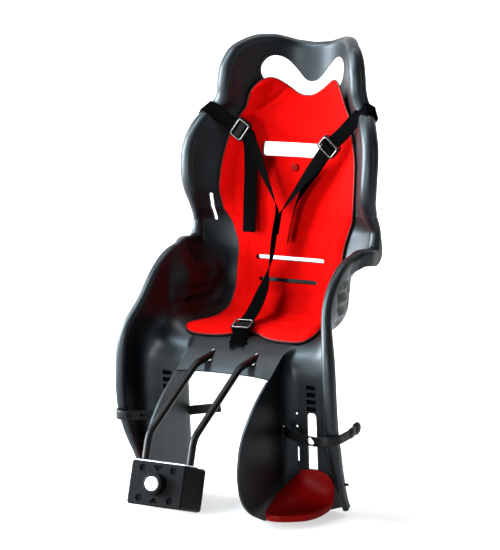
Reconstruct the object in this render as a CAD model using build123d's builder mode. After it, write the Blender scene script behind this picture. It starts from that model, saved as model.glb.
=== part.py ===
from build123d import *
import math
import os

import numpy as np

# ----------------------------------------------------------------------------
# Rear child seat for a bicycle, carried by a bent steel fork in a bracket that
# clamps the seat tube.  +X is the seat's left-hand side as seen by the child,
# -Y the front, +Z up.  The floor under the leg guards is Z = 0 and the origin
# is under the middle of the whole seat.  Millimetres.
# ----------------------------------------------------------------------------

# ---- driving dimensions ----
y_shift = 3.4             # moves the drawing's Y datum to the middle of the seat
wall = 4.0                # moulding thickness
lip_r = 9.0               # rolled rim radius
head_top = 776.0          # height of the two head lobes
apron_half = 88.6         # half width of the front apron
guard_x = 88.0            # wheel-side wall of a leg guard
slot_x, slot_w = 136.5, 17.0
slot_z0, slot_z1 = 43.0, 174.0
ladder_z0, ladder_pitch = 180.0, 12.4   # blind catches above the slot
rest_travel = 68.0        # foot rest adjustment
pad_gap, pad_t = 2.6, 7.0
web_w, web_t = 25.0, 1.6  # harness webbing
rod_d = 12.0              # steel fork bar
rod_x = 41.0              # half spacing of the fork's legs
tube_d = 31.8             # bicycle seat tube
tube_tilt = 17.0          # seat tube angle from the vertical
bracket_w, bracket_h = 98.0, 71.0
bracket_jaw_w, bracket_step = 76.0, 46.0   # narrower jaws behind the fork
bracket_front_t, bracket_rear_t, bracket_gap = 58.5, 27.0, 8.0
fork_n = -28.5            # fork legs behind the bracket's front face
button_d, button_travel = 22.5, 4.0
boss_d, boss_h = 35.0, 12.6
bolt_x, bolt_u = 28.0, 24.0

os.makedirs("parts", exist_ok=True)


# ---- smooth tables ----
def table(rows, col):
    xs = np.array([r[0] for r in rows], float)
    ys = np.array([r[col] for r in rows], float)
    order = np.argsort(xs)
    xs, ys = xs[order], ys[order]
    h = np.diff(xs)
    d = np.diff(ys) / h
    m = np.zeros(len(xs))
    m[0], m[-1] = d[0], d[-1]
    for i in range(1, len(xs) - 1):
        if d[i - 1] * d[i] > 0:
            w1, w2 = 2 * h[i] + h[i - 1], h[i] + 2 * h[i - 1]
            m[i] = (w1 + w2) / (w1 / d[i - 1] + w2 / d[i])

    def value(x):
        i = int(min(max(np.searchsorted(xs, x) - 1, 0), len(xs) - 2))
        t = (x - xs[i]) / h[i]
        return float(
            (1 + 2 * t) * (1 - t) ** 2 * ys[i]
            + t * (1 - t) ** 2 * h[i] * m[i]
            + t * t * (3 - 2 * t) * ys[i + 1]
            + t * t * (t - 1) * h[i] * m[i + 1]
        )

    return value


# back: height, middle of the shell's front face
back = [(800, 296), (764, 290), (730, 287), (700, 283), (672, 275), (640, 262),
        (600, 247), (554, 233), (520, 227), (480, 222)]
# rim where the roll starts: height, half width, depth
rim = [(800, 60, 262), (785, 84, 250), (771, 98, 240), (754, 110, 224), (736, 117, 213),
       (717, 121, 207), (690, 124, 205), (672, 127, 207), (652, 138, 205), (638, 150, 187),
       (619, 160, 172), (595, 167, 162), (574, 169, 157), (541, 168, 155), (512, 165, 159),
       (480, 163, 171)]
bowl = [(800, 2.2), (742, 2.2), (700, 1.75), (640, 1.7), (600, 2.1), (560, 2.6), (520, 2.85), (480, 3.2)]
mid_y, rim_x, rim_y, bowl_p = table(back, 1), table(rim, 1), table(rim, 2), table(bowl, 1)

# lower back to pan: planes that fan about one line; angle, depth of the middle,
# depth of the rim, half width, squareness
fan_1_y, fan_1_z = 85.0, 480.0
fan_1 = [(0, 137, 84, 163, 0.0, 3.0), (15, 138.5, 100, 163, 0.12, 3.2), (30, 150, 104, 161, 0.3, 3.4),
         (42, 166, 81, 160, 0.5, 3.7), (54, 191, 66, 159, 0.7, 4.0), (64, 198, 61, 158, 0.85, 4.4),
         (74, 195, 59, 158, 0.95, 4.7), (82, 191.6, 58.5, 158, 1.0, 5.0), (90, 191.5, 59, 158, 1.0, 5.0)]
# pan front: depth, pan height, rim height
pan = [(72, 287.0, 417.0), (60, 286.0, 412.0)]
# pan edge to leg guard: angle, apron, back wall, rim, rim half width
fan_2_y, fan_2_z = 60.0, 238.0
fan_2 = [(10, 48.5, 48.0, 158.5, 159), (20, 49.3, 48.2, 146, 160), (30, 50.5, 48.5, 130.5, 162),
         (42, 53.2, 49.0, 120, 169), (54, 58, 50.0, 117, 177), (66, 67, 51.0, 113, 182),
         (78, 80, 52.0, 107.5, 184), (90, 98, 52.7, 104, 185)]
# leg guard: height, front edge of the wheel-side wall, back wall, rim half width, rim depth
guard = [(215, -82, 9.2, 186, -44.5), (190, -110, 11.3, 187, -42.5), (160, -136, 13.8, 186.5, -37),
         (130, -149, 16.2, 185, -26), (100, -153, 18.7, 184, -12), (70, -148, 21.2, 183, 4),
         (45, -135, 27, 183, 16), (22, -108, 38, 183, 28), (0, -60, 50, 183, 39)]
# front apron, middle line
apron = [(72, 287.0), (60, 286.0), (40, 281.5), (20, 275.0), (-5, 263.0), (-22, 251.0), (-38, 238.0)]


def roll(a, b, r, n=4, turn=150.0):
    t = np.subtract(b, a)
    t = t / np.hypot(*t)
    s = np.array([t[1], -t[0]])
    q = [math.radians(turn * k / n) for k in range(1, n + 1)]
    return [np.array(b) + r * (math.sin(k) * t + (1 - math.cos(k)) * s) for k in q]


def half_profile(width, depth, count=11):
    t = np.sin(np.linspace(0, math.pi / 2, count))
    return [np.array([k * width, depth(k)]) for k in t]


def offset_line(points, d):
    p = np.array(points, float)
    t = np.zeros_like(p)
    t[1:-1] = p[2:] - p[:-2]
    t[0], t[-1] = p[1] - p[0], p[-1] - p[-2]
    t /= np.linalg.norm(t, axis=1)[:, None]
    return p + np.stack([t[:, 1], -t[:, 0]], 1) * d


def squared(t, n):
    return 1 - (1 - min(t, 1.0) ** n) ** (1 / n)


# every section: its plane (local Y points out of the seat), half width and the
# height of the front face over the plane's origin as a function of t = x / width
sections = []
for z in (800, 778, 756, 730, 700, 672, 652, 636, 618, 595, 570, 541, 510):
    c, r, p = mid_y(z), rim_y(z), bowl_p(z)
    plane = Plane(origin=(0, c - y_shift, z), x_dir=(1, 0, 0), z_dir=(0, 0, 1))
    sections.append((plane, rim_x(z), lambda t, c=c, r=r, p=p: (c - r) * t**p))
for phi, rc, rr, x, w, n in fan_1:
    f = math.radians(phi)
    out = Vector(0, math.cos(f), -math.sin(f))
    plane = Plane(
        origin=(0, fan_1_y + rc * math.cos(f) - y_shift, fan_1_z - rc * math.sin(f)),
        x_dir=(1, 0, 0),
        z_dir=Vector(1, 0, 0).cross(out),
    )
    sections.append(
        (plane, x, lambda t, rc=rc, rr=rr, w=w, n=n: (rc - rr) * ((1 - w) * t**3.2 + w * squared(t, n)))
    )
for y, z, top in pan:
    plane = Plane(origin=(0, y - y_shift, z), x_dir=(1, 0, 0), z_dir=Vector(1, 0, 0).cross(Vector(0, 0, -1)))
    sections.append((plane, 158.0, lambda t, z=z, top=top: (top - z) * squared(t, 5.0)))


def tub_ring(width, depth):
    h = half_profile(width, depth)
    h = np.array(h + roll(h[-2], h[-1], lip_r))
    inner = np.vstack([h[:0:-1] * [-1, 1], h]) * [1, -1]
    outer = offset_line(inner, -wall)
    return [tuple(q) for q in inner] + [tuple(q) for q in outer[::-1]]


def guard_line(edge, base, top, x):
    """Section of a leg guard: down the wheel-side wall, across, up to the rim.  (x, height)"""
    leg = edge - base
    if leg < 12:
        xs = list(np.linspace(guard_x, guard_x + 4, 6)[:-1]) + list(np.linspace(guard_x + 4, 102, 6))
        xs += list(102 + (x - 102) * np.sin(np.linspace(0, 1, 12)[1:] * math.pi / 2))
        pts = []
        for k in xs:
            s = min((k - guard_x) / 16.0, 1.0)
            pts.append(np.array([k, base + leg * (1 - s * s * (3 - 2 * s)) + (top - base) * squared(k / x, 5.0)]))
        return np.array(pts + roll(pts[-2], pts[-1], lip_r))
    r = min(25.0, 0.6 * leg)
    bow = min(1.0, 0.04 * (leg - r))
    pts = [(guard_x - 4.0 * bow * k * (1 - k), edge + (base + r - edge) * k) for k in np.linspace(0, 1, 6)[:-1]]
    for a in np.linspace(0, math.pi / 2, 6):
        pts.append((guard_x + r * (1 - math.cos(a)), base + r * (1 - math.sin(a))))
    x0 = guard_x + r
    for a in np.linspace(0, 1, 12)[1:]:
        t = math.sin(a * math.pi / 2)
        pts.append((x0 + (x - x0) * t, base + (top - base) * squared(t, 6.0)))
    pts = [np.array(q) for q in pts]
    return np.array(pts + roll(pts[-2], pts[-1], lip_r))


def pan_line(height, top):
    """The pan's own section from the guard's wheel-side wall out to the rim."""
    xs = list(np.linspace(guard_x, guard_x + 4, 6)[:-1]) + list(np.linspace(guard_x + 4, 102, 6))
    xs += list(102 + (158 - 102) * np.sin(np.linspace(0, 1, 12)[1:] * math.pi / 2))
    pts = [np.array([x, (top - height) * squared(x / 158.0, 5.0)]) for x in xs]
    return np.array(pts + roll(pts[-2], pts[-1], lip_r))


def guard_sections(side):
    rings = []
    for y, z, top in pan:
        plane = Plane(origin=(0, y + 3 - y_shift, z), x_dir=(1, 0, 0), z_dir=Vector(1, 0, 0).cross(Vector(0, 0, -1)))
        rings.append((plane, offset_line(pan_line(z, top) * [1, -1], -1.0), 2.0))
    for psi, edge, base, top, x in fan_2:
        f = math.radians(psi)
        out = Vector(0, math.sin(f), -math.cos(f))
        plane = Plane(origin=(0, fan_2_y - y_shift, fan_2_z), x_dir=(1, 0, 0), z_dir=Vector(1, 0, 0).cross(out))
        rings.append((plane, guard_line(edge, base, top, x) * [1, -1], wall))
    for z, front, base, x, depth in guard:
        plane = Plane(origin=(0, -y_shift, z), x_dir=(1, 0, 0), z_dir=(0, 0, 1))
        rings.append((plane, guard_line(-front, -base, -depth, x) * [1, -1], wall))
    made = []
    for plane, inner, thick in rings:
        outer = offset_line(inner, -thick)
        ring = [(side * q[0], q[1]) for q in inner] + [(side * q[0], q[1]) for q in outer[::-1]]
        made.append((plane, ring))
    return made


def front_point(z, x):
    """Depth of the back's front face at a height and a side distance."""
    c, r, w = mid_y(z), rim_y(z), rim_x(z)
    return c + (r - c) * min(abs(x) / w, 1.0) ** bowl_p(z) - y_shift


# ---- fork route, right leg first ----
tilt = math.radians(tube_tilt)
u_dir = Vector(0, math.sin(tilt), math.cos(tilt))
n_dir = Vector(0, -math.cos(tilt), math.sin(tilt))
bracket_o = Vector(0, -253 - y_shift, 94) + n_dir * 15.5


def at_bracket(x, u, n):
    return bracket_o + Vector(x, 0, 0) + u_dir * u + n_dir * n


fork_low = at_bracket(rod_x, -26, fork_n)
fork_bend = at_bracket(rod_x, 80, fork_n)
fork_knee = Vector(rod_x, -59 - y_shift, 254)
fork_back = Vector(rod_x, 168 - y_shift, 276)
fork_points = [fork_low, fork_bend, fork_knee, fork_back]
fork_points += [Vector(-p.X, p.Y, p.Z) for p in fork_points[::-1]]
fork_radii = [34, 60, 38, 38, 60, 34]
seat_run = (fork_back - fork_knee).normalized()
saddle_o = fork_knee + seat_run * 154
saddle_o = Vector(0, saddle_o.Y, saddle_o.Z)
saddle_plane = Plane(origin=saddle_o, x_dir=(1, 0, 0), z_dir=Vector(1, 0, 0).cross(seat_run))

slot_dir = Vector(0, 9.2 - 21.2, 215 - 70).normalized()


def slot_plane(side):
    """On a guard's back wall at the slot's foot: local X across, Y up the slot, Z towards the foot."""
    return Plane(origin=(side * slot_x, 21.2 - y_shift, 70), x_dir=(1, 0, 0), z_dir=Vector(1, 0, 0).cross(slot_dir))


# ============================ seat shell ====================================
with BuildPart() as seat_shell:
    for plane, width, depth in sections:
        with BuildSketch(plane):
            with BuildLine():
                Polyline(*tub_ring(width, depth), close=True)
            make_face()
    loft()
    # head outline seen from the front
    with BuildSketch(Plane.XZ.offset(-(330 - y_shift))):
        with BuildLine():
            Spline((-128, 742), (-112, 765), (-86, 778), (-58, 777), (-26, 768), (0, 764),
                   (26, 768), (58, 777), (86, 778), (112, 765), (128, 742))
            Polyline((128, 742), (220, 742), (220, 830), (-220, 830), (-220, 742), (-128, 742))
        make_face()
    extrude(amount=200, mode=Mode.SUBTRACT)
    for side in (1, -1):
        for plane, ring in guard_sections(side):
            with BuildSketch(plane):
                with BuildLine():
                    Polyline(*ring, close=True)
                make_face()
        loft()
    # front apron
    with BuildSketch(Plane.YZ.offset(-apron_half)):
        with BuildLine():
            top = [(y - y_shift, z) for y, z in apron]
            thin = [1.0, 1.0, 0, 0, 0, 0, 0]
            upper = [(y, z - d) for (y, z), d in zip(top, thin)]
            lower = [(y + k, z - d) for (y, z), d, k in zip(top, [3, 3, 4, 4, 3.6, 3.2, 3.0], [0, 0, 0, 1, 1.8, 2.3, 2.6])]
            Polyline(*upper, *lower[::-1], close=True)
        make_face()
    extrude(amount=2 * apron_half)
    # saddle under the pan in which the fork lies
    with BuildSketch(saddle_plane.offset(0.4)):
        RectangleRounded(140, 60, 8)
    extrude(amount=18.2)
    # head opening with the hanging tongue
    with BuildSketch(Plane.XZ.offset(-(330 - y_shift))):
        with BuildLine():
            Spline((0, 698), (14, 703), (32, 724), (48, 741), (63, 744), (74, 735), (75, 718), (64, 694),
                   (34, 676), (0, 668), (-34, 676), (-64, 694), (-75, 718), (-74, 735), (-63, 744),
                   (-48, 741), (-32, 724), (-14, 703), (0, 698), periodic=False)
        make_face()
    extrude(amount=130, mode=Mode.SUBTRACT)
    # shoulder window and the lumbar slot
    with BuildSketch(Plane.XZ.offset(-(300 - y_shift))):
        with Locations((0, 582.5)):
            RectangleRounded(138, 25, 6)
        with Locations((0, 395.5)):
            SlotOverall(132, 8)
    extrude(amount=110, mode=Mode.SUBTRACT)
    # side vents in the torso wings
    with BuildSketch(Plane.XZ.offset(-(240 - y_shift))):
        with Locations((139, 481), (-139, 481)):
            SlotOverall(50, 5.5, rotation=90)
    extrude(amount=100, mode=Mode.SUBTRACT)
    # crotch strap slot
    with BuildSketch(Plane.XY.offset(240)):
        with Locations((-6, 24 - y_shift)):
            SlotOverall(38, 7)
    extrude(amount=60, mode=Mode.SUBTRACT)
    # fork: holes in the apron, grooves in the saddle
    with BuildSketch(Plane(origin=fork_knee, x_dir=(1, 0, 0), z_dir=seat_run)):
        with Locations((0, 0), (-2 * rod_x, 0)):
            SlotOverall(19, 15, rotation=90)
    extrude(amount=90, mode=Mode.SUBTRACT)
    with BuildSketch(Plane(origin=fork_knee, x_dir=(1, 0, 0), z_dir=seat_run)):
        with Locations((0, 0), (-2 * rod_x, 0)):
            Circle(rod_d / 2 + 0.1)
    extrude(amount=200, mode=Mode.SUBTRACT)
    # fork clamp bolt holes, pad stud hole
    with BuildSketch(saddle_plane.offset(-20)):
        with GridLocations(120, 34, 2, 2):
            Circle(3.2)
    extrude(amount=60, mode=Mode.SUBTRACT)
    with BuildSketch(Plane.XZ.offset(-(260 - y_shift))):
        with Locations((0, 554)):
            Circle(2.6)
    extrude(amount=60, mode=Mode.SUBTRACT)
    for side in (1, -1):
        # foot rest slot with blind catches above it
        with BuildSketch(slot_plane(side).offset(-12)):
            with Locations((0, (slot_z0 + slot_z1) / 2 - 70)):
                SlotOverall(slot_z1 - slot_z0, slot_w, rotation=90)
        extrude(amount=40, mode=Mode.SUBTRACT)
        with BuildSketch(slot_plane(side).offset(-2.0)):
            with Locations(*[(0, ladder_z0 - 70 + ladder_pitch * k) for k in range(4)]):
                RectangleRounded(slot_w, 8, 1.5)
        extrude(amount=30, mode=Mode.SUBTRACT)
        # foot strap holes near the wheel-side corner
        with BuildSketch(slot_plane(side).offset(-12)):
            with Locations((-side * 27.5, 100), (-side * 27.5, 78)):
                Circle(2.2)
            with Locations((-side * 26.5, 30)):
                SlotOverall(26, 4.4, rotation=90)
        extrude(amount=30, mode=Mode.SUBTRACT)
        with BuildSketch(Plane.YZ.offset(side * 75)):
            with Locations((2 - y_shift, 140 if side > 0 else 156)):
                RectangleRounded(16, 20, 3)
        extrude(amount=side * 24, mode=Mode.SUBTRACT)
        # shoulder strap anchor holes
        with BuildSketch(Plane.XZ.offset(-(260 - y_shift))):
            with Locations((side * 104, 612)):
                Circle(2.3)
        extrude(amount=70, mode=Mode.SUBTRACT)
        # the outer rear corner of a guard ends a little higher
        with BuildSketch(Plane.YZ.offset(side * 168)):
            with BuildLine():
                Polyline((12 - y_shift, -3), (75 - y_shift, -3), (75 - y_shift, 15), (12 - y_shift, 1), close=True)
            make_face()
        extrude(amount=side * 60, mode=Mode.SUBTRACT)
seat_shell.part.label = "seat_shell"
export_step(seat_shell.part, "parts/seat_shell.step")

# ============================ seat pad ======================================
pad_width = table([(704, 92), (690, 94), (672, 97), (655, 102), (640, 108), (600, 122), (560, 130), (520, 132),
                   (480, 126), (440, 112), (400, 102), (360, 100)], 1)
pad_rows = []
for (plane, width, depth), w in zip(
    sections[4:],
    [pad_width(z) for z in (700, 672, 652, 636, 618, 595, 570, 541, 510)]
    + [126, 114, 104, 101, 100, 101, 103, 108, 114]
    + [119, 121],
):
    pad_rows.append((plane, width, depth, w))
with BuildPart() as seat_pad:
    for plane, width, depth, w in pad_rows:
        t = np.linspace(-1, 1, 17)
        base = np.array([(k * w, -depth(abs(k) * w / width)) for k in t])
        low, high = offset_line(base, pad_gap), offset_line(base, pad_gap + pad_t)
        with BuildSketch(plane):
            with BuildLine():
                Polyline(*[tuple(q) for q in low], *[tuple(q) for q in high[::-1]], close=True)
            make_face()
    loft()
    # two top lobes and the dip between them
    with BuildSketch(Plane.XZ.offset(-(330 - y_shift))):
        with BuildLine():
            Spline((-99, 672), (-92, 690), (-80, 699), (-62, 699), (-36, 682), (0, 670), (36, 682), (62, 699),
                   (80, 699), (92, 690), (99, 672))
            Polyline((99, 672), (160, 672), (160, 740), (-160, 740), (-160, 672), (-99, 672))
        make_face()
    extrude(amount=160, mode=Mode.SUBTRACT)
    # crotch notch between the two front lobes
    with BuildSketch(Plane.XY.offset(270)):
        with BuildLine():
            Spline((-40, 40 - y_shift), (-24, 62 - y_shift), (0, 70 - y_shift), (24, 62 - y_shift), (40, 40 - y_shift))
            Line((40, 40 - y_shift), (-40, 40 - y_shift))
        make_face()
    extrude(amount=60, mode=Mode.SUBTRACT)
    with BuildSketch(Plane.XZ.offset(-(300 - y_shift))):
        with Locations((0, 582.5)):
            RectangleRounded(138, 25, 6)
        with Locations((0, 395.5)):
            SlotOverall(132, 8)
        with Locations((0, 358)):
            SlotOverall(112, 8)
        with Locations((0, 554)):
            Circle(2.6)
    extrude(amount=140, mode=Mode.SUBTRACT)
    # hollows in the underside over the fork bolts
    with BuildSketch(saddle_plane.offset(15)):
        with GridLocations(120, 34, 2, 2):
            Circle(8.5)
    extrude(amount=9, mode=Mode.SUBTRACT)
seat_pad.part.label = "seat_pad"
export_step(seat_pad.part, "parts/seat_pad.step")

stud_y = mid_y(554) - y_shift
with BuildPart() as pad_snap:
    with BuildSketch(Plane.XZ.offset(-(stud_y - pad_gap - pad_t - 1.6))):
        with Locations((0, 554)):
            Circle(6.5)
    extrude(amount=3)
    fillet(pad_snap.faces().sort_by(Axis.Y)[0].edges(), 1.2)
    with BuildSketch(Plane.XZ.offset(-(stud_y + wall + 2.5))):
        with Locations((0, 554)):
            Circle(2.4)
    extrude(amount=wall + pad_gap + pad_t + 4)
    with BuildSketch(Plane.XZ.offset(-(stud_y + wall + 4.5))):
        with Locations((0, 554)):
            Circle(5)
    extrude(amount=2.5)
pad_snap.part.label = "pad_snap"
export_step(pad_snap.part, "parts/pad_snap.step")


# ============================ harness =======================================
def ribbon(stations, width=web_w, thick=web_t):
    """Planes and sizes of a flat band through stations (point, across direction)."""
    made = []
    pts = [Vector(*s[0]) - Vector(0, y_shift, 0) for s in stations]
    for i, (p, s) in enumerate(zip(pts, stations)):
        a, b = pts[max(i - 1, 0)], pts[min(i + 1, len(pts) - 1)]
        run = (b - a).normalized()
        across = Vector(*s[1]).normalized()
        across = (across - run * across.dot(run)).normalized()
        made.append(Plane(origin=p, x_dir=across, z_dir=run))
    return made


shoulder_left = [((-107.5, 237, 615.5), (0.6, 0, 1)), ((-122, 237, 630), (0.6, 0.1, 1)), ((-141, 231.5, 644), (0.6, 0.25, 1)),
                 ((-161.5, 214.5, 652.5), (0.95, 0.45, 1)), ((-159, 188.5, 651), (0.95, 0.4, 1)), ((-137, 181, 643.5), (0.6, 0.15, 1)),
                 ((-112, 189, 630), (0.55, 0, 1)), ((-90.5, 192, 618.6), (0.6, 0, 1)), ((-78.5, 193.9, 610.0), (0.62, 0, 1)), ((-75.5, 198.5, 594), (0.95, 0, 0.4)),
                 ((-77.5, 202.5, 580), (1, 0, 0)), ((-77.5, 204, 545), (1, 0, 0)), ((-77, 200, 500), (1, 0, 0)),
                 ((-75.5, 194, 439), (1, 0, 0))]
shoulder_right = [((107.5, 237, 615.5), (-0.6, 0, 1)), ((122, 237, 630), (-0.6, 0.1, 1)), ((141, 231.5, 644), (-0.6, 0.25, 1)),
                  ((161.5, 214.5, 652.5), (-0.95, 0.45, 1)), ((159, 188.5, 650), (-0.95, 0.4, 1)), ((137, 181, 641.5), (-0.6, 0.15, 1)),
                  ((108, 191, 620), (-0.6, 0, 1)), ((78.5, 195, 596.1), (-0.7, 0, 0.8)), ((52, 204, 563), (-0.75, 0, 0.7)),
                  ((28, 203, 524), (-0.6, 0.6, 0.5)), ((14, 199, 494), (-0.1, 1, 0.1)), ((5, 197, 462), (0, 1, 0)),
                  ((0, 193, 425.6), (0, 1, 0))]
chest_left = [((-90.5, 189.0, 618.6), (0.6, 0, 1)), ((-81, 190.4, 611.6), (0.62, 0, 1)), ((-70, 193, 592), (0.8, 0, 0.55)), ((-61.4, 196, 574), (0.85, 0, 0.5)),
              ((-40.7, 195, 531.8), (0.9, 0, 0.4)), ((-24, 190, 500), (0.8, -0.5, 0.3)), ((-17.5, 187, 478), (0.25, -1, 0.1)),
              ((-20.7, 184, 443.7), (0.1, -1, 0)), ((-23.3, 178, 402.3), (0.2, -1, 0)), ((-25, 163, 371), (0.6, -0.8, 0)),
              ((-22, 139, 345.2), (1, -0.3, 0)), ((-18.5, 100, 318), (1, 0, 0)), ((-14.1, 55, 302), (1, 0, 0))]
chest_right = [((78.5, 192.0, 596.1), (-0.7, 0, 0.8)), ((54.9, 196, 566.5), (-0.75, 0, 0.7)), ((27.5, 194, 532.4), (-0.75, 0, 0.65)),
               ((6, 191, 502), (-0.7, 0.5, 0.5)), ((-9, 187.5, 481), (-0.2, 1, 0.2)), ((-15.5, 184.5, 462), (0, 1, 0)),
               ((-17.7, 182, 440), (0, 1, 0))]
crotch = [((-14.1, 55, 299.2), (1, 0, 0)), ((-12, 36, 289), (1, 0, 0)), ((-9, 26, 279.5), (1, 0, 0)), ((-8, 24, 269), (1, 0, 0)),
          ((-8, 24, 258.5), (1, 0, 0))]

with BuildPart() as shoulder_strap_left:
    for plane in ribbon(shoulder_left):
        with BuildSketch(plane):
            Rectangle(web_w, web_t)
    loft(ruled=True)
shoulder_strap_left.part.label = "shoulder_strap_left"
export_step(shoulder_strap_left.part, "parts/shoulder_strap_left.step")

with BuildPart() as shoulder_strap_right:
    for plane in ribbon(shoulder_right):
        with BuildSketch(plane):
            Rectangle(web_w, web_t)
    loft(ruled=True)
shoulder_strap_right.part.label = "shoulder_strap_right"
export_step(shoulder_strap_right.part, "parts/shoulder_strap_right.step")

with BuildPart() as chest_strap_left:
    for plane in ribbon(chest_left):
        with BuildSketch(plane):
            Rectangle(web_w, web_t)
    loft(ruled=True)
chest_strap_left.part.label = "chest_strap_left"
export_step(chest_strap_left.part, "parts/chest_strap_left.step")

with BuildPart() as chest_strap_right:
    for plane in ribbon(chest_right):
        with BuildSketch(plane):
            Rectangle(web_w, web_t)
    loft(ruled=True)
chest_strap_right.part.label = "chest_strap_right"
export_step(chest_strap_right.part, "parts/chest_strap_right.step")

with BuildPart() as crotch_strap:
    for plane in ribbon(crotch):
        with BuildSketch(plane):
            Rectangle(web_w, web_t)
    loft(ruled=True)
crotch_strap.part.label = "crotch_strap"
export_step(crotch_strap.part, "parts/crotch_strap.step")


def slider_plane(point, run, across):
    run, across = Vector(*run).normalized(), Vector(*across).normalized()
    across = (across - run * across.dot(run)).normalized()
    return Plane(origin=Vector(*point) - Vector(0, y_shift, 0), x_dir=across, z_dir=across.cross(run))


left_slider = slider_plane((-90.5, 190.5, 618.6), (25, 4, -18), (0.6, 0, 1))
with BuildPart() as strap_adjuster_left:
    with BuildSketch(left_slider.offset(-4.8)):
        RectangleRounded(36, 27, 4)
        with Locations((0, 8.2), (0, -8.2)):
            Rectangle(29, 6, mode=Mode.SUBTRACT)
    extrude(amount=1.4)
    with BuildSketch(left_slider.offset(3.4)):
        RectangleRounded(36, 27, 4)
        Rectangle(29, 21, mode=Mode.SUBTRACT)
    extrude(amount=1.4)
    with BuildSketch(left_slider.offset(-4.8)):
        with Locations((16.4, 0), (-16.4, 0)):
            Rectangle(2.8, 20)
    extrude(amount=9.6)
strap_adjuster_left.part.label = "strap_adjuster_left"
export_step(strap_adjuster_left.part, "parts/strap_adjuster_left.step")

right_slider = slider_plane((78.5, 193.5, 596.1), (-27, 5, -31), (-0.7, 0, 0.8))
with BuildPart() as strap_adjuster_right:
    with BuildSketch(right_slider.offset(-4.8)):
        RectangleRounded(36, 27, 4)
        with Locations((0, 8.2), (0, -8.2)):
            Rectangle(29, 6, mode=Mode.SUBTRACT)
    extrude(amount=1.4)
    with BuildSketch(right_slider.offset(3.4)):
        RectangleRounded(36, 27, 4)
        Rectangle(29, 21, mode=Mode.SUBTRACT)
    extrude(amount=1.4)
    with BuildSketch(right_slider.offset(-4.8)):
        with Locations((16.4, 0), (-16.4, 0)):
            Rectangle(2.8, 20)
    extrude(amount=9.6)
strap_adjuster_right.part.label = "strap_adjuster_right"
export_step(strap_adjuster_right.part, "parts/strap_adjuster_right.step")

crotch_slider = slider_plane((-14.1, 55, 300.6), (0.05, -0.9, -0.42), (1, 0, 0))
with BuildPart() as crotch_adjuster:
    with BuildSketch(crotch_slider.offset(-4.6)):
        RectangleRounded(36, 27, 4)
        with Locations((0, 8.2), (0, -8.2)):
            Rectangle(29, 6, mode=Mode.SUBTRACT)
    extrude(amount=1.3)
    with BuildSketch(crotch_slider.offset(3.3)):
        RectangleRounded(36, 27, 4)
        Rectangle(29, 21, mode=Mode.SUBTRACT)
    extrude(amount=1.3)
    with BuildSketch(crotch_slider.offset(-4.6)):
        with Locations((16.4, 0), (-16.4, 0)):
            Rectangle(2.8, 20)
    extrude(amount=9.2)
crotch_adjuster.part.label = "crotch_adjuster"
export_step(crotch_adjuster.part, "parts/crotch_adjuster.step")

with BuildPart() as strap_anchor_screws:
    for side in (1, -1):
        with BuildSketch(Plane.XZ.offset(-(242.0 - y_shift))):
            with Locations((side * 104, 612)):
                Circle(7)
        extrude(amount=3.4)
        with BuildSketch(Plane.XZ.offset(-(238.6 - y_shift))):
            with Locations((side * 104, 612)):
                Circle(2.0)
        extrude(amount=17)
strap_anchor_screws.part.label = "strap_anchor_screws"
export_step(strap_anchor_screws.part, "parts/strap_anchor_screws.step")

with BuildPart() as crotch_strap_stop:
    with BuildSketch(Plane.XY.offset(254.0)):
        with Locations((-8, 24 - y_shift)):
            RectangleRounded(44, 14, 3)
    extrude(amount=4.2)
crotch_strap_stop.part.label = "crotch_strap_stop"
export_step(crotch_strap_stop.part, "parts/crotch_strap_stop.step")

# ============================ foot rests and straps =========================
rest_profile = [(2.2, 5), (6.0, 5), (8, -18), (13.5, -33), (26, -45), (60, -45.5), (108, -41.5), (108, -52.5), (2.2, -60.5)]
rest_plan = [(-18.5, 2.2), (-35.5, 16), (-41.5, 41), (-43, 69), (-41.5, 89), (-30.5, 105), (-16.5, 107), (6.5, 96), (28.5, 76),
             (37.5, 46), (41.5, 20), (42.5, 7), (27.5, 2.2)]


def rest_outline(side):
    return [(side * p, r) for p, r in rest_plan]


def side_plane(side, p):
    """Upright plane across a foot rest: local X forward, Y up the slot."""
    base = slot_plane(side)
    return Plane(origin=base.origin + Vector(p, 0, 0), x_dir=base.z_dir, z_dir=base.z_dir.cross(base.y_dir))


def plan_plane(side, q):
    """Level plane of a foot rest: local X across, Y forward."""
    base = slot_plane(side)
    return Plane(origin=base.origin + base.y_dir * q, x_dir=(1, 0, 0), z_dir=Vector(1, 0, 0).cross(base.z_dir))


with BuildPart() as foot_rest_right:
    with BuildSketch(side_plane(1, 60)):
        with BuildLine():
            Polyline(*rest_profile, close=True)
        make_face()
    extrude(amount=120, both=True)
    with BuildSketch(plan_plane(1, 20)):
        with BuildLine():
            Polyline(*rest_outline(1), close=True)
        make_face()
    extrude(amount=100, both=True, mode=Mode.INTERSECT)
    with BuildSketch(slot_plane(1).offset(-10.0)):
        with Locations((0, -8)):
            RectangleRounded(slot_w - 2.6, 18, 2)
    extrude(amount=14)
    with BuildSketch(slot_plane(1).offset(-13.0)):
        with Locations((0, -8)):
            RectangleRounded(30, 20, 3)
    extrude(amount=4)
foot_rest_right.part.label = "foot_rest_right"
export_step(foot_rest_right.part, "parts/foot_rest_right.step")

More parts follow.
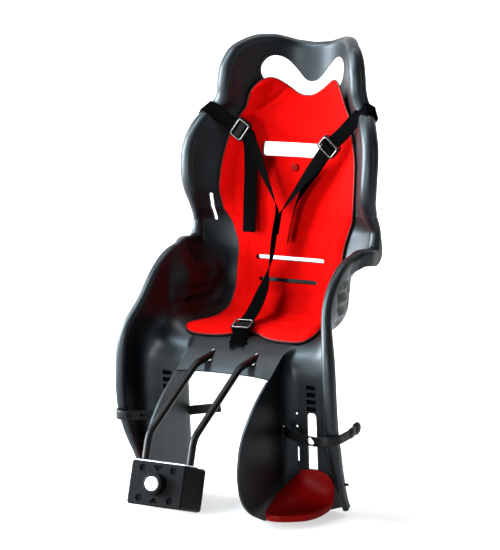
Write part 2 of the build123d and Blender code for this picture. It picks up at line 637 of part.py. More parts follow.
with BuildPart() as foot_rest_left:
    with BuildSketch(side_plane(-1, -60)):
        with BuildLine():
            Polyline(*rest_profile, close=True)
        make_face()
    extrude(amount=120, both=True)
    with BuildSketch(plan_plane(-1, 20)):
        with BuildLine():
            Polyline(*rest_outline(-1), close=True)
        make_face()
    extrude(amount=100, both=True, mode=Mode.INTERSECT)
    with BuildSketch(slot_plane(-1).offset(-10.0)):
        with Locations((0, -8)):
            RectangleRounded(slot_w - 2.6, 18, 2)
    extrude(amount=14)
    with BuildSketch(slot_plane(-1).offset(-13.0)):
        with Locations((0, -8)):
            RectangleRounded(30, 20, 3)
    extrude(amount=4)
foot_rest_left.part.label = "foot_rest_left"
export_step(foot_rest_left.part, "parts/foot_rest_left.step")

strap_right = [((80, 5, 140), (0, 0, 1)), ((92, 0, 140), (0, 0, 1)), ((106, -9, 139.5), (0, 0, 1)), ((140, -24, 137), (0, 0, 1)),
               ((170, -40, 139), (0, 0, 1)), ((186, -49.5, 142), (0, 0, 1)), ((200, -48, 144), (0, 0, 1)),
               ((208.5, -35, 145), (0, 0, 1)), ((210, -12, 146), (0, 0, 1)), ((209, 18, 147), (0, 0, 1)), ((205, 48, 148), (0, 0, 1))]
strap_left = [((-209, -14, 148), (0, 0, 1)), ((-208.5, -35, 148), (0, 0, 1)), ((-200, -48.5, 148), (0, 0, 1)), ((-186, -50, 148), (0, 0, 1)),
              ((-170, -40, 148), (0, 0, 1)), ((-140, -22, 149.5), (0, 0, 1)), ((-106, -8, 153.5), (0, 0, 1)), ((-92, 0, 156), (0, 0, 1)),
              ((-78, 6, 158.5), (0, 0, 1)), ((-58, 13, 161), (0, 0, 1)), ((-38, 20, 164), (0, 0, 1))]
with BuildPart() as foot_strap_right:
    for plane in ribbon(strap_right):
        with BuildSketch(plane):
            Rectangle(14, 3)
    loft(ruled=True)
foot_strap_right.part.label = "foot_strap_right"
export_step(foot_strap_right.part, "parts/foot_strap_right.step")
with BuildPart() as foot_strap_left:
    for plane in ribbon(strap_left):
        with BuildSketch(plane):
            Rectangle(14, 3)
    loft(ruled=True)
foot_strap_left.part.label = "foot_strap_left"
export_step(foot_strap_left.part, "parts/foot_strap_left.step")

# ============================ fork ==========================================
with BuildPart() as mounting_fork:
    with BuildLine() as fork_path:
        FilletPolyline(*fork_points, radius=fork_radii)
    with BuildSketch(Plane(origin=fork_points[0], z_dir=u_dir)):
        Circle(rod_d / 2)
    sweep()
    # notches on the back of both legs, where the latch bar drops in
    for side in (1, -1):
        with BuildSketch(Plane(origin=at_bracket(side * rod_x, 0, fork_n - 4.0), x_dir=(1, 0, 0), z_dir=-n_dir)):
            Rectangle(20, 9.0)
        extrude(amount=8, mode=Mode.SUBTRACT)
mounting_fork.part.label = "mounting_fork"
export_step(mounting_fork.part, "parts/mounting_fork.step")

with BuildPart() as fork_clamp_plate:
    with BuildSketch(saddle_plane.offset(-rod_d / 2 - 3.3)):
        RectangleRounded(138, 56, 6)
        with GridLocations(120, 34, 2, 2):
            Circle(3.3, mode=Mode.SUBTRACT)
    extrude(amount=3)
fork_clamp_plate.part.label = "fork_clamp_plate"
export_step(fork_clamp_plate.part, "parts/fork_clamp_plate.step")

head_at = 21.2
with BuildPart() as fork_clamp_bolts:
    with BuildSketch(saddle_plane.offset(-rod_d / 2 - 12)):
        with GridLocations(120, 34, 2, 2):
            Circle(3)
    extrude(amount=rod_d / 2 + 12 + head_at)
    with BuildSketch(saddle_plane.offset(head_at)):
        with GridLocations(120, 34, 2, 2):
            Circle(7)
    extrude(amount=2.2)
fork_clamp_bolts.part.label = "fork_clamp_bolts"
export_step(fork_clamp_bolts.part, "parts/fork_clamp_bolts.step")

with BuildPart() as fork_clamp_nuts:
    with BuildSketch(saddle_plane.offset(-rod_d / 2 - 8.6)):
        with GridLocations(120, 34, 2, 2):
            RegularPolygon(5.6, 6)
            Circle(3.02, mode=Mode.SUBTRACT)
    extrude(amount=5.2)
fork_clamp_nuts.part.label = "fork_clamp_nuts"
export_step(fork_clamp_nuts.part, "parts/fork_clamp_nuts.step")

# ============================ bracket =======================================
front_plane = Plane(origin=bracket_o, x_dir=(1, 0, 0), z_dir=n_dir)      # local X across, Y up the tube, Z forward
tube_n = -bracket_front_t - bracket_gap / 2
rear_face = -bracket_front_t - bracket_gap - bracket_rear_t
up_plane = Plane(origin=at_bracket(0, -bracket_h / 2 - 10, 0), x_dir=(1, 0, 0), z_dir=u_dir)  # local Y = backward

with BuildPart() as bracket_front:
    with BuildSketch(front_plane.offset(-bracket_step)):
        RectangleRounded(bracket_w, bracket_h, 5)
    extrude(amount=bracket_step)
    fillet(bracket_front.faces().sort_by(Axis.Y)[0].outer_wire().edges(), 2.5)
    with BuildSketch(front_plane.offset(-bracket_front_t)):
        RectangleRounded(bracket_jaw_w, bracket_h, 5)
    extrude(amount=bracket_front_t - bracket_step + 2)
    with BuildSketch(front_plane):
        Circle(boss_d / 2)
    extrude(amount=boss_h)
    fillet(bracket_front.faces().sort_by(Axis.Y)[0].outer_wire().edges(), 2.0)
    # button bore and stem hole
    with BuildSketch(front_plane.offset(1.6)):
        Circle(button_d / 2 + 0.35)
    extrude(amount=30, mode=Mode.SUBTRACT)
    with BuildSketch(front_plane.offset(fork_n - 7)):
        Circle(4.3)
    extrude(amount=-fork_n + 12, mode=Mode.SUBTRACT)
    # latch bar chamber
    with BuildSketch(front_plane.offset(fork_n - 15)):
        Rectangle(94, 10)
    extrude(amount=11.2, mode=Mode.SUBTRACT)
    # fork sockets from above
    with BuildSketch(Plane(origin=at_bracket(0, -27, fork_n), x_dir=(1, 0, 0), z_dir=u_dir)):
        with Locations((rod_x, 0), (-rod_x, 0)):
            Circle(rod_d / 2 + 0.15)
    extrude(amount=80, mode=Mode.SUBTRACT)
    # seat tube groove
    with BuildSketch(up_plane):
        with Locations((0, -tube_n)):
            Circle(tube_d / 2)
    extrude(amount=bracket_h + 20, mode=Mode.SUBTRACT)
    # bolt holes with head recesses
    with BuildSketch(front_plane.offset(-bracket_front_t - 2)):
        with GridLocations(2 * bolt_x, 2 * bolt_u, 2, 2):
            Circle(3.2)
    extrude(amount=bracket_front_t + 12, mode=Mode.SUBTRACT)
    with BuildSketch(front_plane.offset(-9)):
        with GridLocations(2 * bolt_x, 2 * bolt_u, 2, 2):
            Circle(5.9)
    extrude(amount=20, mode=Mode.SUBTRACT)
    # lightening pockets above and below the boss
    with BuildSketch(front_plane.offset(-7)):
        with BuildLine():
            Polyline((-9, 29.5), (9, 29.5), (0, 20.5), close=True)
        make_face()
        with BuildLine():
            Polyline((-9, -29.5), (9, -29.5), (0, -20.5), close=True)
        make_face()
    extrude(amount=20, mode=Mode.SUBTRACT)
bracket_front.part.label = "bracket_front"
export_step(bracket_front.part, "parts/bracket_front.step")

with BuildPart() as bracket_rear:
    with BuildSketch(front_plane.offset(-bracket_front_t - bracket_gap - bracket_rear_t)):
        RectangleRounded(bracket_jaw_w, bracket_h, 6)
    extrude(amount=bracket_rear_t)
    fillet(bracket_rear.faces().sort_by(Axis.Y)[-1].outer_wire().edges(), 4)
    with BuildSketch(up_plane):
        with Locations((0, -tube_n)):
            Circle(tube_d / 2)
    extrude(amount=bracket_h + 20, mode=Mode.SUBTRACT)
    with BuildSketch(front_plane.offset(rear_face - 5)):
        with GridLocations(2 * bolt_x, 2 * bolt_u, 2, 2):
            Circle(3.2)
    extrude(amount=bracket_rear_t + 10, mode=Mode.SUBTRACT)
    with BuildSketch(front_plane.offset(rear_face - 5)):
        with GridLocations(2 * bolt_x, 2 * bolt_u, 2, 2):
            RegularPolygon(5.9, 6)
    extrude(amount=11, mode=Mode.SUBTRACT)
bracket_rear.part.label = "bracket_rear"
export_step(bracket_rear.part, "parts/bracket_rear.step")

with BuildPart() as bracket_bolts:
    with BuildSketch(front_plane.offset(rear_face + 0.5)):
        with GridLocations(2 * bolt_x, 2 * bolt_u, 2, 2):
            Circle(3)
    extrude(amount=-rear_face - 9.5)
    with BuildSketch(front_plane.offset(-9)):
        with GridLocations(2 * bolt_x, 2 * bolt_u, 2, 2):
            Circle(5)
    extrude(amount=5.6)
    with BuildSketch(front_plane.offset(-6.4)):
        with GridLocations(2 * bolt_x, 2 * bolt_u, 2, 2):
            RegularPolygon(2.9, 6)
    extrude(amount=10, mode=Mode.SUBTRACT)
bracket_bolts.part.label = "bracket_bolts"
export_step(bracket_bolts.part, "parts/bracket_bolts.step")

with BuildPart() as bracket_nuts:
    with BuildSketch(front_plane.offset(rear_face + 0.8)):
        with GridLocations(2 * bolt_x, 2 * bolt_u, 2, 2):
            RegularPolygon(5.7, 6)
            Circle(3.02, mode=Mode.SUBTRACT)
    extrude(amount=5)
bracket_nuts.part.label = "bracket_nuts"
export_step(bracket_nuts.part, "parts/bracket_nuts.step")

with BuildPart() as release_button:
    with BuildSketch(front_plane.offset(7.6)):
        Circle(button_d / 2)
    extrude(amount=boss_h + 5 - 7.6)
    fillet(release_button.faces().sort_by(Axis.Y)[0].edges(), 2.2)
    with BuildSketch(front_plane.offset(fork_n - 4.4)):
        Circle(4)
    extrude(amount=-fork_n + 13)
release_button.part.label = "release_button"
export_step(release_button.part, "parts/release_button.step")

with BuildPart() as latch_bar:
    with BuildSketch(front_plane.offset(fork_n - 9.4)):
        RectangleRounded(91, 8, 1.5)
    extrude(amount=5)
latch_bar.part.label = "latch_bar"
export_step(latch_bar.part, "parts/latch_bar.step")

with BuildPart() as button_spring:
    with BuildLine() as coil:
        Helix(pitch=1.5, height=4.2, radius=7.0, center=at_bracket(0, 0, 2.5), direction=n_dir)
    with BuildSketch(Plane(origin=coil.line @ 0, z_dir=coil.line % 0)):
        Circle(0.6)
    sweep(is_frenet=True)
button_spring.part.label = "button_spring"
export_step(button_spring.part, "parts/button_spring.step")
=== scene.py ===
import math

import bmesh
import bpy
import numpy as np
from mathutils import Matrix, Vector

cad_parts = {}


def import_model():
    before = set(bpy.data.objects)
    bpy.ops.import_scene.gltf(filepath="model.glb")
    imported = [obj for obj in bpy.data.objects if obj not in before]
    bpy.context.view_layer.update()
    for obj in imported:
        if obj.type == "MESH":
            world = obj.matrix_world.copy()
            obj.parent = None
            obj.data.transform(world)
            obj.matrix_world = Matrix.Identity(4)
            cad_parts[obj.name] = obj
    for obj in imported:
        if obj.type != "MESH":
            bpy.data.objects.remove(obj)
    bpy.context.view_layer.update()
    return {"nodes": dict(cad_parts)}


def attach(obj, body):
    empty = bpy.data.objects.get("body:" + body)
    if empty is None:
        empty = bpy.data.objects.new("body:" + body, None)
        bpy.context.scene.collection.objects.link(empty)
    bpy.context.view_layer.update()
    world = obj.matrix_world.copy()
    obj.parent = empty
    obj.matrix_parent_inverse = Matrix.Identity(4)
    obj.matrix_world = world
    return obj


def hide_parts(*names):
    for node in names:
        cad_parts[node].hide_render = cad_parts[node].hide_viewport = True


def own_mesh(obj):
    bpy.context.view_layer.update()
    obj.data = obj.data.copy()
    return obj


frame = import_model()
nodes = frame["nodes"]
YS = 3.4  # drawing Y to model Y, mm
MM = 0.001


# ----------------------------------------------------------------------------
# tables of the seat's form, millimetres
# ----------------------------------------------------------------------------
def table(rows, col=1):
    xs = np.array([r[0] for r in rows], float)
    ys = np.array([r[col] for r in rows], float)
    order = np.argsort(xs)
    xs, ys = xs[order], ys[order]
    h = np.diff(xs)
    d = np.diff(ys) / h
    m = np.zeros(len(xs))
    m[0], m[-1] = d[0], d[-1]
    for i in range(1, len(xs) - 1):
        if d[i - 1] * d[i] > 0:
            w1, w2 = 2 * h[i] + h[i - 1], h[i] + 2 * h[i - 1]
            m[i] = (w1 + w2) / (w1 / d[i - 1] + w2 / d[i])

    def value(x):
        x = np.clip(np.asarray(x, float), xs[0], xs[-1])
        i = np.clip(np.searchsorted(xs, x) - 1, 0, len(xs) - 2)
        t = (x - xs[i]) / h[i]
        return (
            (1 + 2 * t) * (1 - t) ** 2 * ys[i]
            + t * (1 - t) ** 2 * h[i] * m[i]
            + t * t * (3 - 2 * t) * ys[i + 1]
            + t * t * (t - 1) * h[i] * m[i + 1]
        )

    return value


BACK = [(800, 296), (764, 290), (730, 287), (700, 283), (672, 275), (640, 262), (600, 247), (554, 233), (520, 227), (480, 222)]
RIM = [(800, 52, 254), (785, 76, 242), (771, 89, 231), (754, 101, 215), (736, 108, 204), (717, 112, 198), (690, 115, 196),
       (672, 118, 198), (652, 129, 196), (638, 141, 178), (619, 151, 163), (595, 158, 153), (574, 160, 148), (541, 159, 146),
       (512, 157, 150), (480, 160, 164)]
BOWL = [(800, 2.7), (742, 2.7), (700, 2.6), (640, 2.5), (600, 3.0), (560, 3.8), (520, 3.9), (480, 3.2)]
FAN1 = [(0, 137, 79, 160, 0.0, 3.0), (15, 138.5, 100, 163, 0.12, 3.2), (30, 150, 104, 161, 0.3, 3.4), (42, 166, 81, 160, 0.5, 3.7),
        (54, 191, 66, 159, 0.7, 4.0), (64, 198, 61, 158, 0.85, 4.4), (74, 195, 59, 158, 0.95, 4.7), (82, 191.6, 58.5, 158, 1.0, 5.0),
        (90, 191.5, 59, 158, 1.0, 5.0)]
PAN = [(85, 288.5, 421.0), (72, 287.0, 417.0), (60, 286.0, 412.0)]
FAN2 = [(0, 48.0, 48.0, 174, 158), (10, 48.5, 48.0, 158.5, 159), (20, 49.3, 48.2, 146, 160), (30, 50.5, 48.5, 130.5, 162),
        (42, 53.2, 49.0, 120, 169), (54, 58, 50.0, 117, 177), (66, 67, 51.0, 113, 182), (78, 80, 52.0, 107.5, 184), (90, 98, 52.7, 104, 185)]
GUARD = [(238, -38, 7.3, 185, -44), (215, -82, 9.2, 186, -44.5), (190, -110, 11.3, 187, -42.5), (160, -136, 13.8, 186.5, -37),
         (130, -149, 16.2, 185, -26), (100, -153, 18.7, 184, -12), (70, -148, 21.2, 183, 4), (45, -135, 27, 183, 16),
         (22, -108, 38, 183, 28), (0, -60, 50, 183, 39)]
GX = 88.0
P1Y, P1Z, P2Y, P2Z = 85.0, 480.0, 60.0, 238.0

mid_y, rim_x, rim_y, bowl_p = table(BACK), table(RIM, 1), table(RIM, 2), table(BOWL)
f1 = [table(FAN1, i) for i in range(1, 6)]
pan_z, pan_top = table(PAN, 1), table(PAN, 2)
f2 = [table(FAN2, i) for i in range(1, 5)]
gd = [table(GUARD, i) for i in range(1, 5)]


def squared(t, n):
    return 1 - (1 - np.clip(t, 0, 1) ** n) ** (1 / n)


# a row coordinate v that runs down the back, round the corner, over the pan and over its front edge
V_FAN, V_PAN, V_EDGE = 320.0, 554.0, 579.0


def tub_point(v, x):
    """Visible face of the tub at row v and side distance x (arrays), drawing millimetres."""
    v, x = np.broadcast_arrays(np.asarray(v, float), np.asarray(x, float))
    a = np.abs(x)
    out = np.zeros(v.shape + (3,))
    out[..., 0] = x
    b = v <= V_FAN
    z = 800 - v
    c, r, w, p = mid_y(z), rim_y(z), rim_x(z), bowl_p(z)
    yb = c + (r - c) * np.clip(a / w, 0, 1.15) ** p
    phi = np.clip((v - V_FAN) / 2.6, 0, 90)
    rc, rr, xw, ww, n = [f(phi) for f in f1]
    t = np.clip(a / xw, 0, 1)
    rad = rc - (rc - rr) * ((1 - ww) * t**3.2 + ww * squared(t, n))
    yf, zf = P1Y + rad * np.cos(np.radians(phi)), P1Z - rad * np.sin(np.radians(phi))
    yp = P1Y - (v - V_PAN)
    zp = pan_z(yp) + (pan_top(yp) - pan_z(yp)) * squared(a / 158.0, 5.0)
    psi = np.clip((v - V_EDGE) / 0.85, 0, 90)
    re, rb, rt, xr = [f(psi) for f in f2]
    s = np.clip((a - GX) / 16.0, 0, 1)
    rad2 = np.where(a <= GX, re, rb + (re - rb) * (1 - s * s * (3 - 2 * s))) + (rt - rb) * squared(a / xr, 5.0)
    ye, ze = P2Y - rad2 * np.sin(np.radians(psi)), P2Z + rad2 * np.cos(np.radians(psi))
    out[..., 1] = np.select([b, v <= V_PAN, v <= V_EDGE], [yb, yf, yp], ye)
    out[..., 2] = np.select([b, v <= V_PAN, v <= V_EDGE], [z, zf, zp], ze)
    return out


def tub_normal(v, x, e=0.8):
    """Unit normal of the visible face, towards the child."""
    du = tub_point(v, np.asarray(x) + e) - tub_point(v, np.asarray(x) - e)
    dv = tub_point(np.asarray(v) + e, x) - tub_point(np.asarray(v) - e, x)
    n = np.cross(du, dv)
    n /= np.linalg.norm(n, axis=-1)[..., None] + 1e-9
    return n


def world(p):
    p = np.array(p, float).reshape(-1, 3)
    return (p - [0, YS, 0]) * MM


# ----------------------------------------------------------------------------
# mesh helpers
# ----------------------------------------------------------------------------
def new_mesh(name, verts, faces, material=None, smooth=True, metres=False):
    me = bpy.data.meshes.new(name)
    co = np.array(verts, float).reshape(-1, 3) if metres else world(verts)
    me.from_pydata([tuple(c) for c in co], [], [tuple(int(i) for i in f) for f in faces])
    me.validate()
    me.update()
    ob = bpy.data.objects.new(name, me)
    bpy.context.scene.collection.objects.link(ob)
    if smooth:
        me.polygons.foreach_set("use_smooth", [True] * len(me.polygons))
    if material is not None:
        me.materials.append(material)
    return ob


def fix_normals(ob):
    bm = bmesh.new()
    bm.from_mesh(ob.data)
    bmesh.ops.remove_doubles(bm, verts=bm.verts, dist=1e-6)
    bmesh.ops.recalc_face_normals(bm, faces=bm.faces)
    bm.to_mesh(ob.data)
    bm.free()
    ob.data.update()


def bake(ob):
    """Applies the modifiers."""
    bpy.context.view_layer.update()
    dg = bpy.context.evaluated_depsgraph_get()
    me = bpy.data.meshes.new_from_object(ob.evaluated_get(dg), depsgraph=dg)
    old = ob.data
    ob.modifiers.clear()
    ob.data = me
    bpy.data.meshes.remove(old)
    return ob


def sharpen(ob, angle=38):
    me = ob.data
    me.polygons.foreach_set("use_smooth", [True] * len(me.polygons))
    me.set_sharp_from_angle(angle=math.radians(angle))


def grid_faces(nr, nc, start=0, closed=False):
    f = []
    for i in range(nr - 1):
        for j in range(nc - 1 if not closed else nc):
            k = (j + 1) % nc
            f.append((start + i * nc + j, start + i * nc + k, start + (i + 1) * nc + k, start + (i + 1) * nc + j))
    return f


def prism(name, outline, origin, xd, yd, depth):
    """Closed prism of a flat outline, for cutting."""
    o, xd, yd = np.array(origin, float), np.array(xd, float), np.array(yd, float)
    zd = np.cross(xd, yd)
    pts = [o + a * xd + b * yd for a, b in outline]
    n = len(pts)
    verts = pts + [p + zd * depth for p in pts]
    faces = [tuple(range(n))[::-1], tuple(range(n, 2 * n))]
    faces += [(i, (i + 1) % n, (i + 1) % n + n, i + n) for i in range(n)]
    ob = new_mesh(name, verts, faces, smooth=False)
    fix_normals(ob)
    return ob


def slot_outline(w, h, n=8):
    """Long hole, w wide and h high, with round ends along the longer side."""
    pts = []
    r = min(w, h) / 2
    lx, ly = w / 2 - r, h / 2 - r
    for q, (sx, sy) in enumerate(((1, 1), (-1, 1), (-1, -1), (1, -1))):
        for k in range(n + 1):
            a = math.pi / 2 * (q + k / n)
            pts.append((sx * lx + r * math.cos(a), sy * ly + r * math.sin(a)))
    return pts


def round_rect(w, h, r, n=5):
    pts = []
    for q, (sx, sy) in enumerate(((1, 1), (-1, 1), (-1, -1), (1, -1))):
        for k in range(n + 1):
            a = math.pi / 2 * (q + k / n)
            pts.append((sx * (w / 2 - r) + r * math.cos(a), sy * (h / 2 - r) + r * math.sin(a)))
    return pts


def catmull(points, per=10, closed=False):
    p = np.array(points, float)
    n = len(p)
    out = []
    rng = range(n) if closed else range(n - 1)
    for i in rng:
        p0 = p[(i - 1) % n] if closed or i > 0 else 2 * p[0] - p[1]
        p1, p2 = p[i], p[(i + 1) % n]
        p3 = p[(i + 2) % n] if closed or i + 2 < n else 2 * p[-1] - p[-2]
        for k in range(per):
            t = k / per
            out.append(0.5 * (2 * p1 + (p2 - p0) * t + (2 * p0 - 5 * p1 + 4 * p2 - p3) * t * t + (3 * p1 - p0 - 3 * p2 + p3) * t**3))
    if not closed:
        out.append(p[-1])
    return np.array(out)


# ----------------------------------------------------------------------------
# materials
# ----------------------------------------------------------------------------
def shader(name, color, rough=0.5, metal=0.0, spec=0.5, coat=0.0, coat_rough=0.2, sheen=0.0):
    m = bpy.data.materials.new(name)
    m.use_nodes = True
    b = m.node_tree.nodes["Principled BSDF"]
    b.inputs["Base Color"].default_value = (*color, 1)
    b.inputs["Roughness"].default_value = rough
    b.inputs["Metallic"].default_value = metal
    b.inputs["Specular IOR Level"].default_value = spec
    b.inputs["Coat Weight"].default_value = coat
    b.inputs["Coat Roughness"].default_value = coat_rough
    b.inputs["Sheen Weight"].default_value = sheen
    return m


def noise(m, scale, detail=3.0, rough=0.5, coord="Object"):
    t = m.node_tree
    tc = t.nodes.new("ShaderNodeTexCoord")
    n = t.nodes.new("ShaderNodeTexNoise")
    n.inputs["Scale"].default_value = scale
    n.inputs["Detail"].default_value = detail
    n.inputs["Roughness"].default_value = rough
    t.links.new(tc.outputs[coord], n.inputs["Vector"])
    return n


def bump(m, source, strength, distance):
    t = m.node_tree
    b = t.nodes.new("ShaderNodeBump")
    b.inputs["Strength"].default_value = strength
    b.inputs["Distance"].default_value = distance
    t.links.new(source, b.inputs["Height"])
    t.links.new(b.outputs["Normal"], t.nodes["Principled BSDF"].inputs["Normal"])
    return b


def ramp(m, source, lo, hi, socket, p0=0.3, p1=0.7):
    t = m.node_tree
    r = t.nodes.new("ShaderNodeMapRange")
    r.inputs["From Min"].default_value = p0
    r.inputs["From Max"].default_value = p1
    r.inputs["To Min"].default_value = lo
    r.inputs["To Max"].default_value = hi
    t.links.new(source, r.inputs["Value"])
    t.links.new(r.outputs["Result"], t.nodes["Principled BSDF"].inputs[socket])


def tint(m, source, c0, c1, p0=0.3, p1=0.7):
    t = m.node_tree
    r = t.nodes.new("ShaderNodeValToRGB")
    r.color_ramp.elements[0].position = p0
    r.color_ramp.elements[0].color = (*c0, 1)
    r.color_ramp.elements[1].position = p1
    r.color_ramp.elements[1].color = (*c1, 1)
    t.links.new(source, r.inputs["Fac"])
    t.links.new(r.outputs["Color"], t.nodes["Principled BSDF"].inputs["Base Color"])


M = {}
m = M["shell"] = shader("shell_plastic", (0.0016, 0.002, 0.0024), 0.42, spec=0.25)
m.node_tree.nodes["Principled BSDF"].inputs["Specular Tint"].default_value = (0.80, 0.92, 1.0, 1)
n = noise(m, 900, 2)
bump(m, n.outputs["Fac"], 0.12, 0.0004)
n = noise(m, 14, 4)
ramp(m, n.outputs["Fac"], 0.40, 0.45, "Roughness")
tint(m, n.outputs["Fac"], (0.0014, 0.0017, 0.0021), (0.0020, 0.0024, 0.0029))

m = M["pad"] = shader("pad_fabric", (0.36, 0.001, 0.0005), 0.85, spec=0.02)
n = noise(m, 1500, 2)
bump(m, n.outputs["Fac"], 0.25, 0.0004)
n = noise(m, 26, 4)
tint(m, n.outputs["Fac"], (0.33, 0.0007, 0.0004), (0.41, 0.0012, 0.0006))

m = M["piping"] = shader("pad_piping", (0.05, 0.006, 0.006), 0.6, spec=0.1)
n = noise(m, 700, 2)
bump(m, n.outputs["Fac"], 0.2, 0.0003)
tint(m, n.outputs["Fac"], (0.04, 0.0045, 0.0045), (0.06, 0.008, 0.0075))

m = M["rest"] = shader("foot_rest_plastic", (0.125, 0.0005, 0.0005), 0.5, spec=0.04)
n = noise(m, 800, 2)
bump(m, n.outputs["Fac"], 0.1, 0.0004)
n = noise(m, 16, 3)
tint(m, n.outputs["Fac"], (0.115, 0.0004, 0.0004), (0.14, 0.0006, 0.0006))
ramp(m, n.outputs["Fac"], 0.38, 0.48, "Roughness")

m = M["web"] = shader("webbing", (0.0014, 0.0014, 0.0015), 0.8, spec=0.0)
t = m.node_tree
uv = t.nodes.new("ShaderNodeUVMap")
wv = t.nodes.new("ShaderNodeTexWave")
wv.bands_direction = "Y"
wv.inputs["Scale"].default_value = 220
wv.inputs["Distortion"].default_value = 0.6
t.links.new(uv.outputs["UV"], wv.inputs["Vector"])
bump(m, wv.outputs["Fac"], 0.5, 0.0005)
tint(m, wv.outputs["Fac"], (0.0005, 0.0005, 0.0006), (0.0022, 0.0022, 0.0024), 0.2, 0.9)

m = M["rubber"] = shader("strap_rubber", (0.003, 0.003, 0.0033), 0.55, spec=0.12)
n = noise(m, 300, 2)
bump(m, n.outputs["Fac"], 0.1, 0.0004)
ramp(m, n.outputs["Fac"], 0.42, 0.58, "Roughness")

m = M["slider"] = shader("slider_plastic", (0.002, 0.002, 0.0023), 0.4, spec=0.04)
n = noise(m, 120, 2)
ramp(m, n.outputs["Fac"], 0.38, 0.46, "Roughness")
bump(m, n.outputs["Fac"], 0.04, 0.0003)

m = M["rod"] = shader("fork_paint", (0.0025, 0.0025, 0.0028), 0.36, spec=0.1, coat=0.0, coat_rough=0.25)
n = noise(m, 220, 2)
bump(m, n.outputs["Fac"], 0.03, 0.0003)
ramp(m, n.outputs["Fac"], 0.32, 0.42, "Roughness")

m = M["bracket"] = shader("bracket_plastic", (0.0014, 0.0015, 0.0019), 0.46, spec=0.04)
n = noise(m, 650, 2)
bump(m, n.outputs["Fac"], 0.18, 0.0004)
n = noise(m, 30, 3)
tint(m, n.outputs["Fac"], (0.0012, 0.0013, 0.0017), (0.002, 0.0022, 0.0027))

m = M["dark_steel"] = shader("black_oxide_steel", (0.008, 0.008, 0.009), 0.5, metal=0.3, spec=0.3)
n = noise(m, 240, 3)
ramp(m, n.outputs["Fac"], 0.36, 0.5, "Roughness")
bump(m, n.outputs["Fac"], 0.05, 0.0002)

m = M["steel"] = shader("zinc_steel", (0.5, 0.5, 0.51), 0.32, metal=1.0)
n = noise(m, 260, 3)
ramp(m, n.outputs["Fac"], 0.25, 0.42, "Roughness")
bump(m, n.outputs["Fac"], 0.05, 0.0002)

m = M["wire"] = shader("slider_wire", (0.16, 0.157, 0.152), 0.42, metal=1.0)
n = noise(m, 300, 3)
ramp(m, n.outputs["Fac"], 0.24, 0.4, "Roughness")
bump(m, n.outputs["Fac"], 0.05, 0.0002)

# near-black matte material for pockets and recesses: painted shade
m = M["deep"] = shader("deep_recess", (0.0012, 0.0012, 0.0014), 0.8, spec=0.03)
n = noise(m, 60, 2)
ramp(m, n.outputs["Fac"], 0.74, 0.86, "Roughness")
# light grey for the strip on the bracket's top: a painted highlight of its bright top edge
m = M["liner"] = shader("bracket_liner", (0.7, 0.71, 0.74), 0.4, spec=0.4)
n = noise(m, 60, 3)
tint(m, n.outputs["Fac"], (0.66, 0.67, 0.7), (0.75, 0.76, 0.79))

m = M["button"] = shader("button_plastic", (0.86, 0.86, 0.84), 0.3, spec=0.5)
n = noise(m, 40, 3)
tint(m, n.outputs["Fac"], (0.82, 0.82, 0.8), (0.9, 0.9, 0.885))
ramp(m, n.outputs["Fac"], 0.26, 0.36, "Roughness")

m = M["floor"] = shader("floor_paint", (0.38, 0.38, 0.38), 0.8, spec=0.03)
m.node_tree.nodes["Principled BSDF"].inputs["Emission Color"].default_value = (1, 1, 1, 1)
m.node_tree.nodes["Principled BSDF"].inputs["Emission Strength"].default_value = 0.55
n = noise(m, 6, 3)
tint(m, n.outputs["Fac"], (0.375, 0.375, 0.375), (0.385, 0.385, 0.385))


# ----------------------------------------------------------------------------
# shell
# ----------------------------------------------------------------------------
NC, NL, NK, NF = 16, 8, 8, 22  # columns: middle, wheel-side wall, corner, floor to rim
T_B = GX / 158.0
T_IN = list(np.linspace(0, T_B, NC + 1))
HEAD_V = 800 - 745.0


def g_ts():
    """Column fractions of the outer block, in drawing X at the pan."""
    xs = list(np.linspace(GX, GX + 4, NL + 1)[:-1]) + list(np.linspace(GX + 4, 102, NK + 1))
    xs += list(102 + (158 - 102) * np.sin(np.linspace(0, 1, NF + 1)[1:] * math.pi / 2))
    return xs


G_XS = g_ts()
T_ALL = np.array(T_IN[:-1] + [x / 158.0 for x in G_XS])
head_lift = table([(0, 11), (0.3, 14.5), (0.45, 19), (0.61, 22.6), (0.74, 22.4), (0.82, 19.6), (0.9, 14.6), (0.95, 9.4), (0.985, 3.8), (1.0, 0)])


def tub_row(v):
    """Half row of the tub from the middle to the rim."""
    if v <= V_FAN:
        z = 800 - v
        x = T_ALL * rim_x(z)
        k = np.clip((z - 690) / 55.0, 0, 1)
        zz = z + head_lift(T_ALL) * k * k * (3 - 2 * k)
        return tub_point(800 - zz, x)
    if v <= V_PAN:
        xw = f1[2]((v - V_FAN) / 2.6)
        return tub_point(v, T_ALL * xw)
    return tub_point(v, T_ALL * 158.0)


def guard_half(edge, base, top, x):
    """Half section of a guard, (x, height) from the wheel-side edge out to the rim."""
    leg = edge - base
    if leg < 12:
        xs = np.array(list(np.linspace(GX, GX + 4, NL + 1)[:-1]) + list(np.linspace(GX + 4, 102, NK + 1))
                      + list(102 + (x - 102) * np.sin(np.linspace(0, 1, NF + 1)[1:] * math.pi / 2)))
        s = np.clip((xs - GX) / 16.0, 0, 1)
        return np.stack([xs, base + leg * (1 - s * s * (3 - 2 * s)) + (top - base) * squared(xs / x, 5.0)], 1)
    r = min(25.0, 0.6 * leg)
    pts = [(GX, edge + (base + r - edge) * k) for k in np.linspace(0, 1, NL + 1)[:-1]]
    pts += [(GX + r * (1 - math.cos(a)), base + r * (1 - math.sin(a))) for a in np.linspace(0, math.pi / 2, NK + 1)]
    x0 = GX + r
    for a in np.linspace(0, 1, NF + 1)[1:]:
        t = math.sin(a * math.pi / 2)
        pts.append((x0 + (x - x0) * t, base + (top - base) * float(squared(t, 6.0))))
    return np.array(pts)


def smooth_rows(rows, passes):
    """Evens out rows of a block along its length."""
    a = np.array(rows)
    for _ in range(passes):
        b = a.copy()
        b[1:-1] = 0.25 * a[:-2] + 0.5 * a[1:-1] + 0.25 * a[2:]
        a = b
    return a


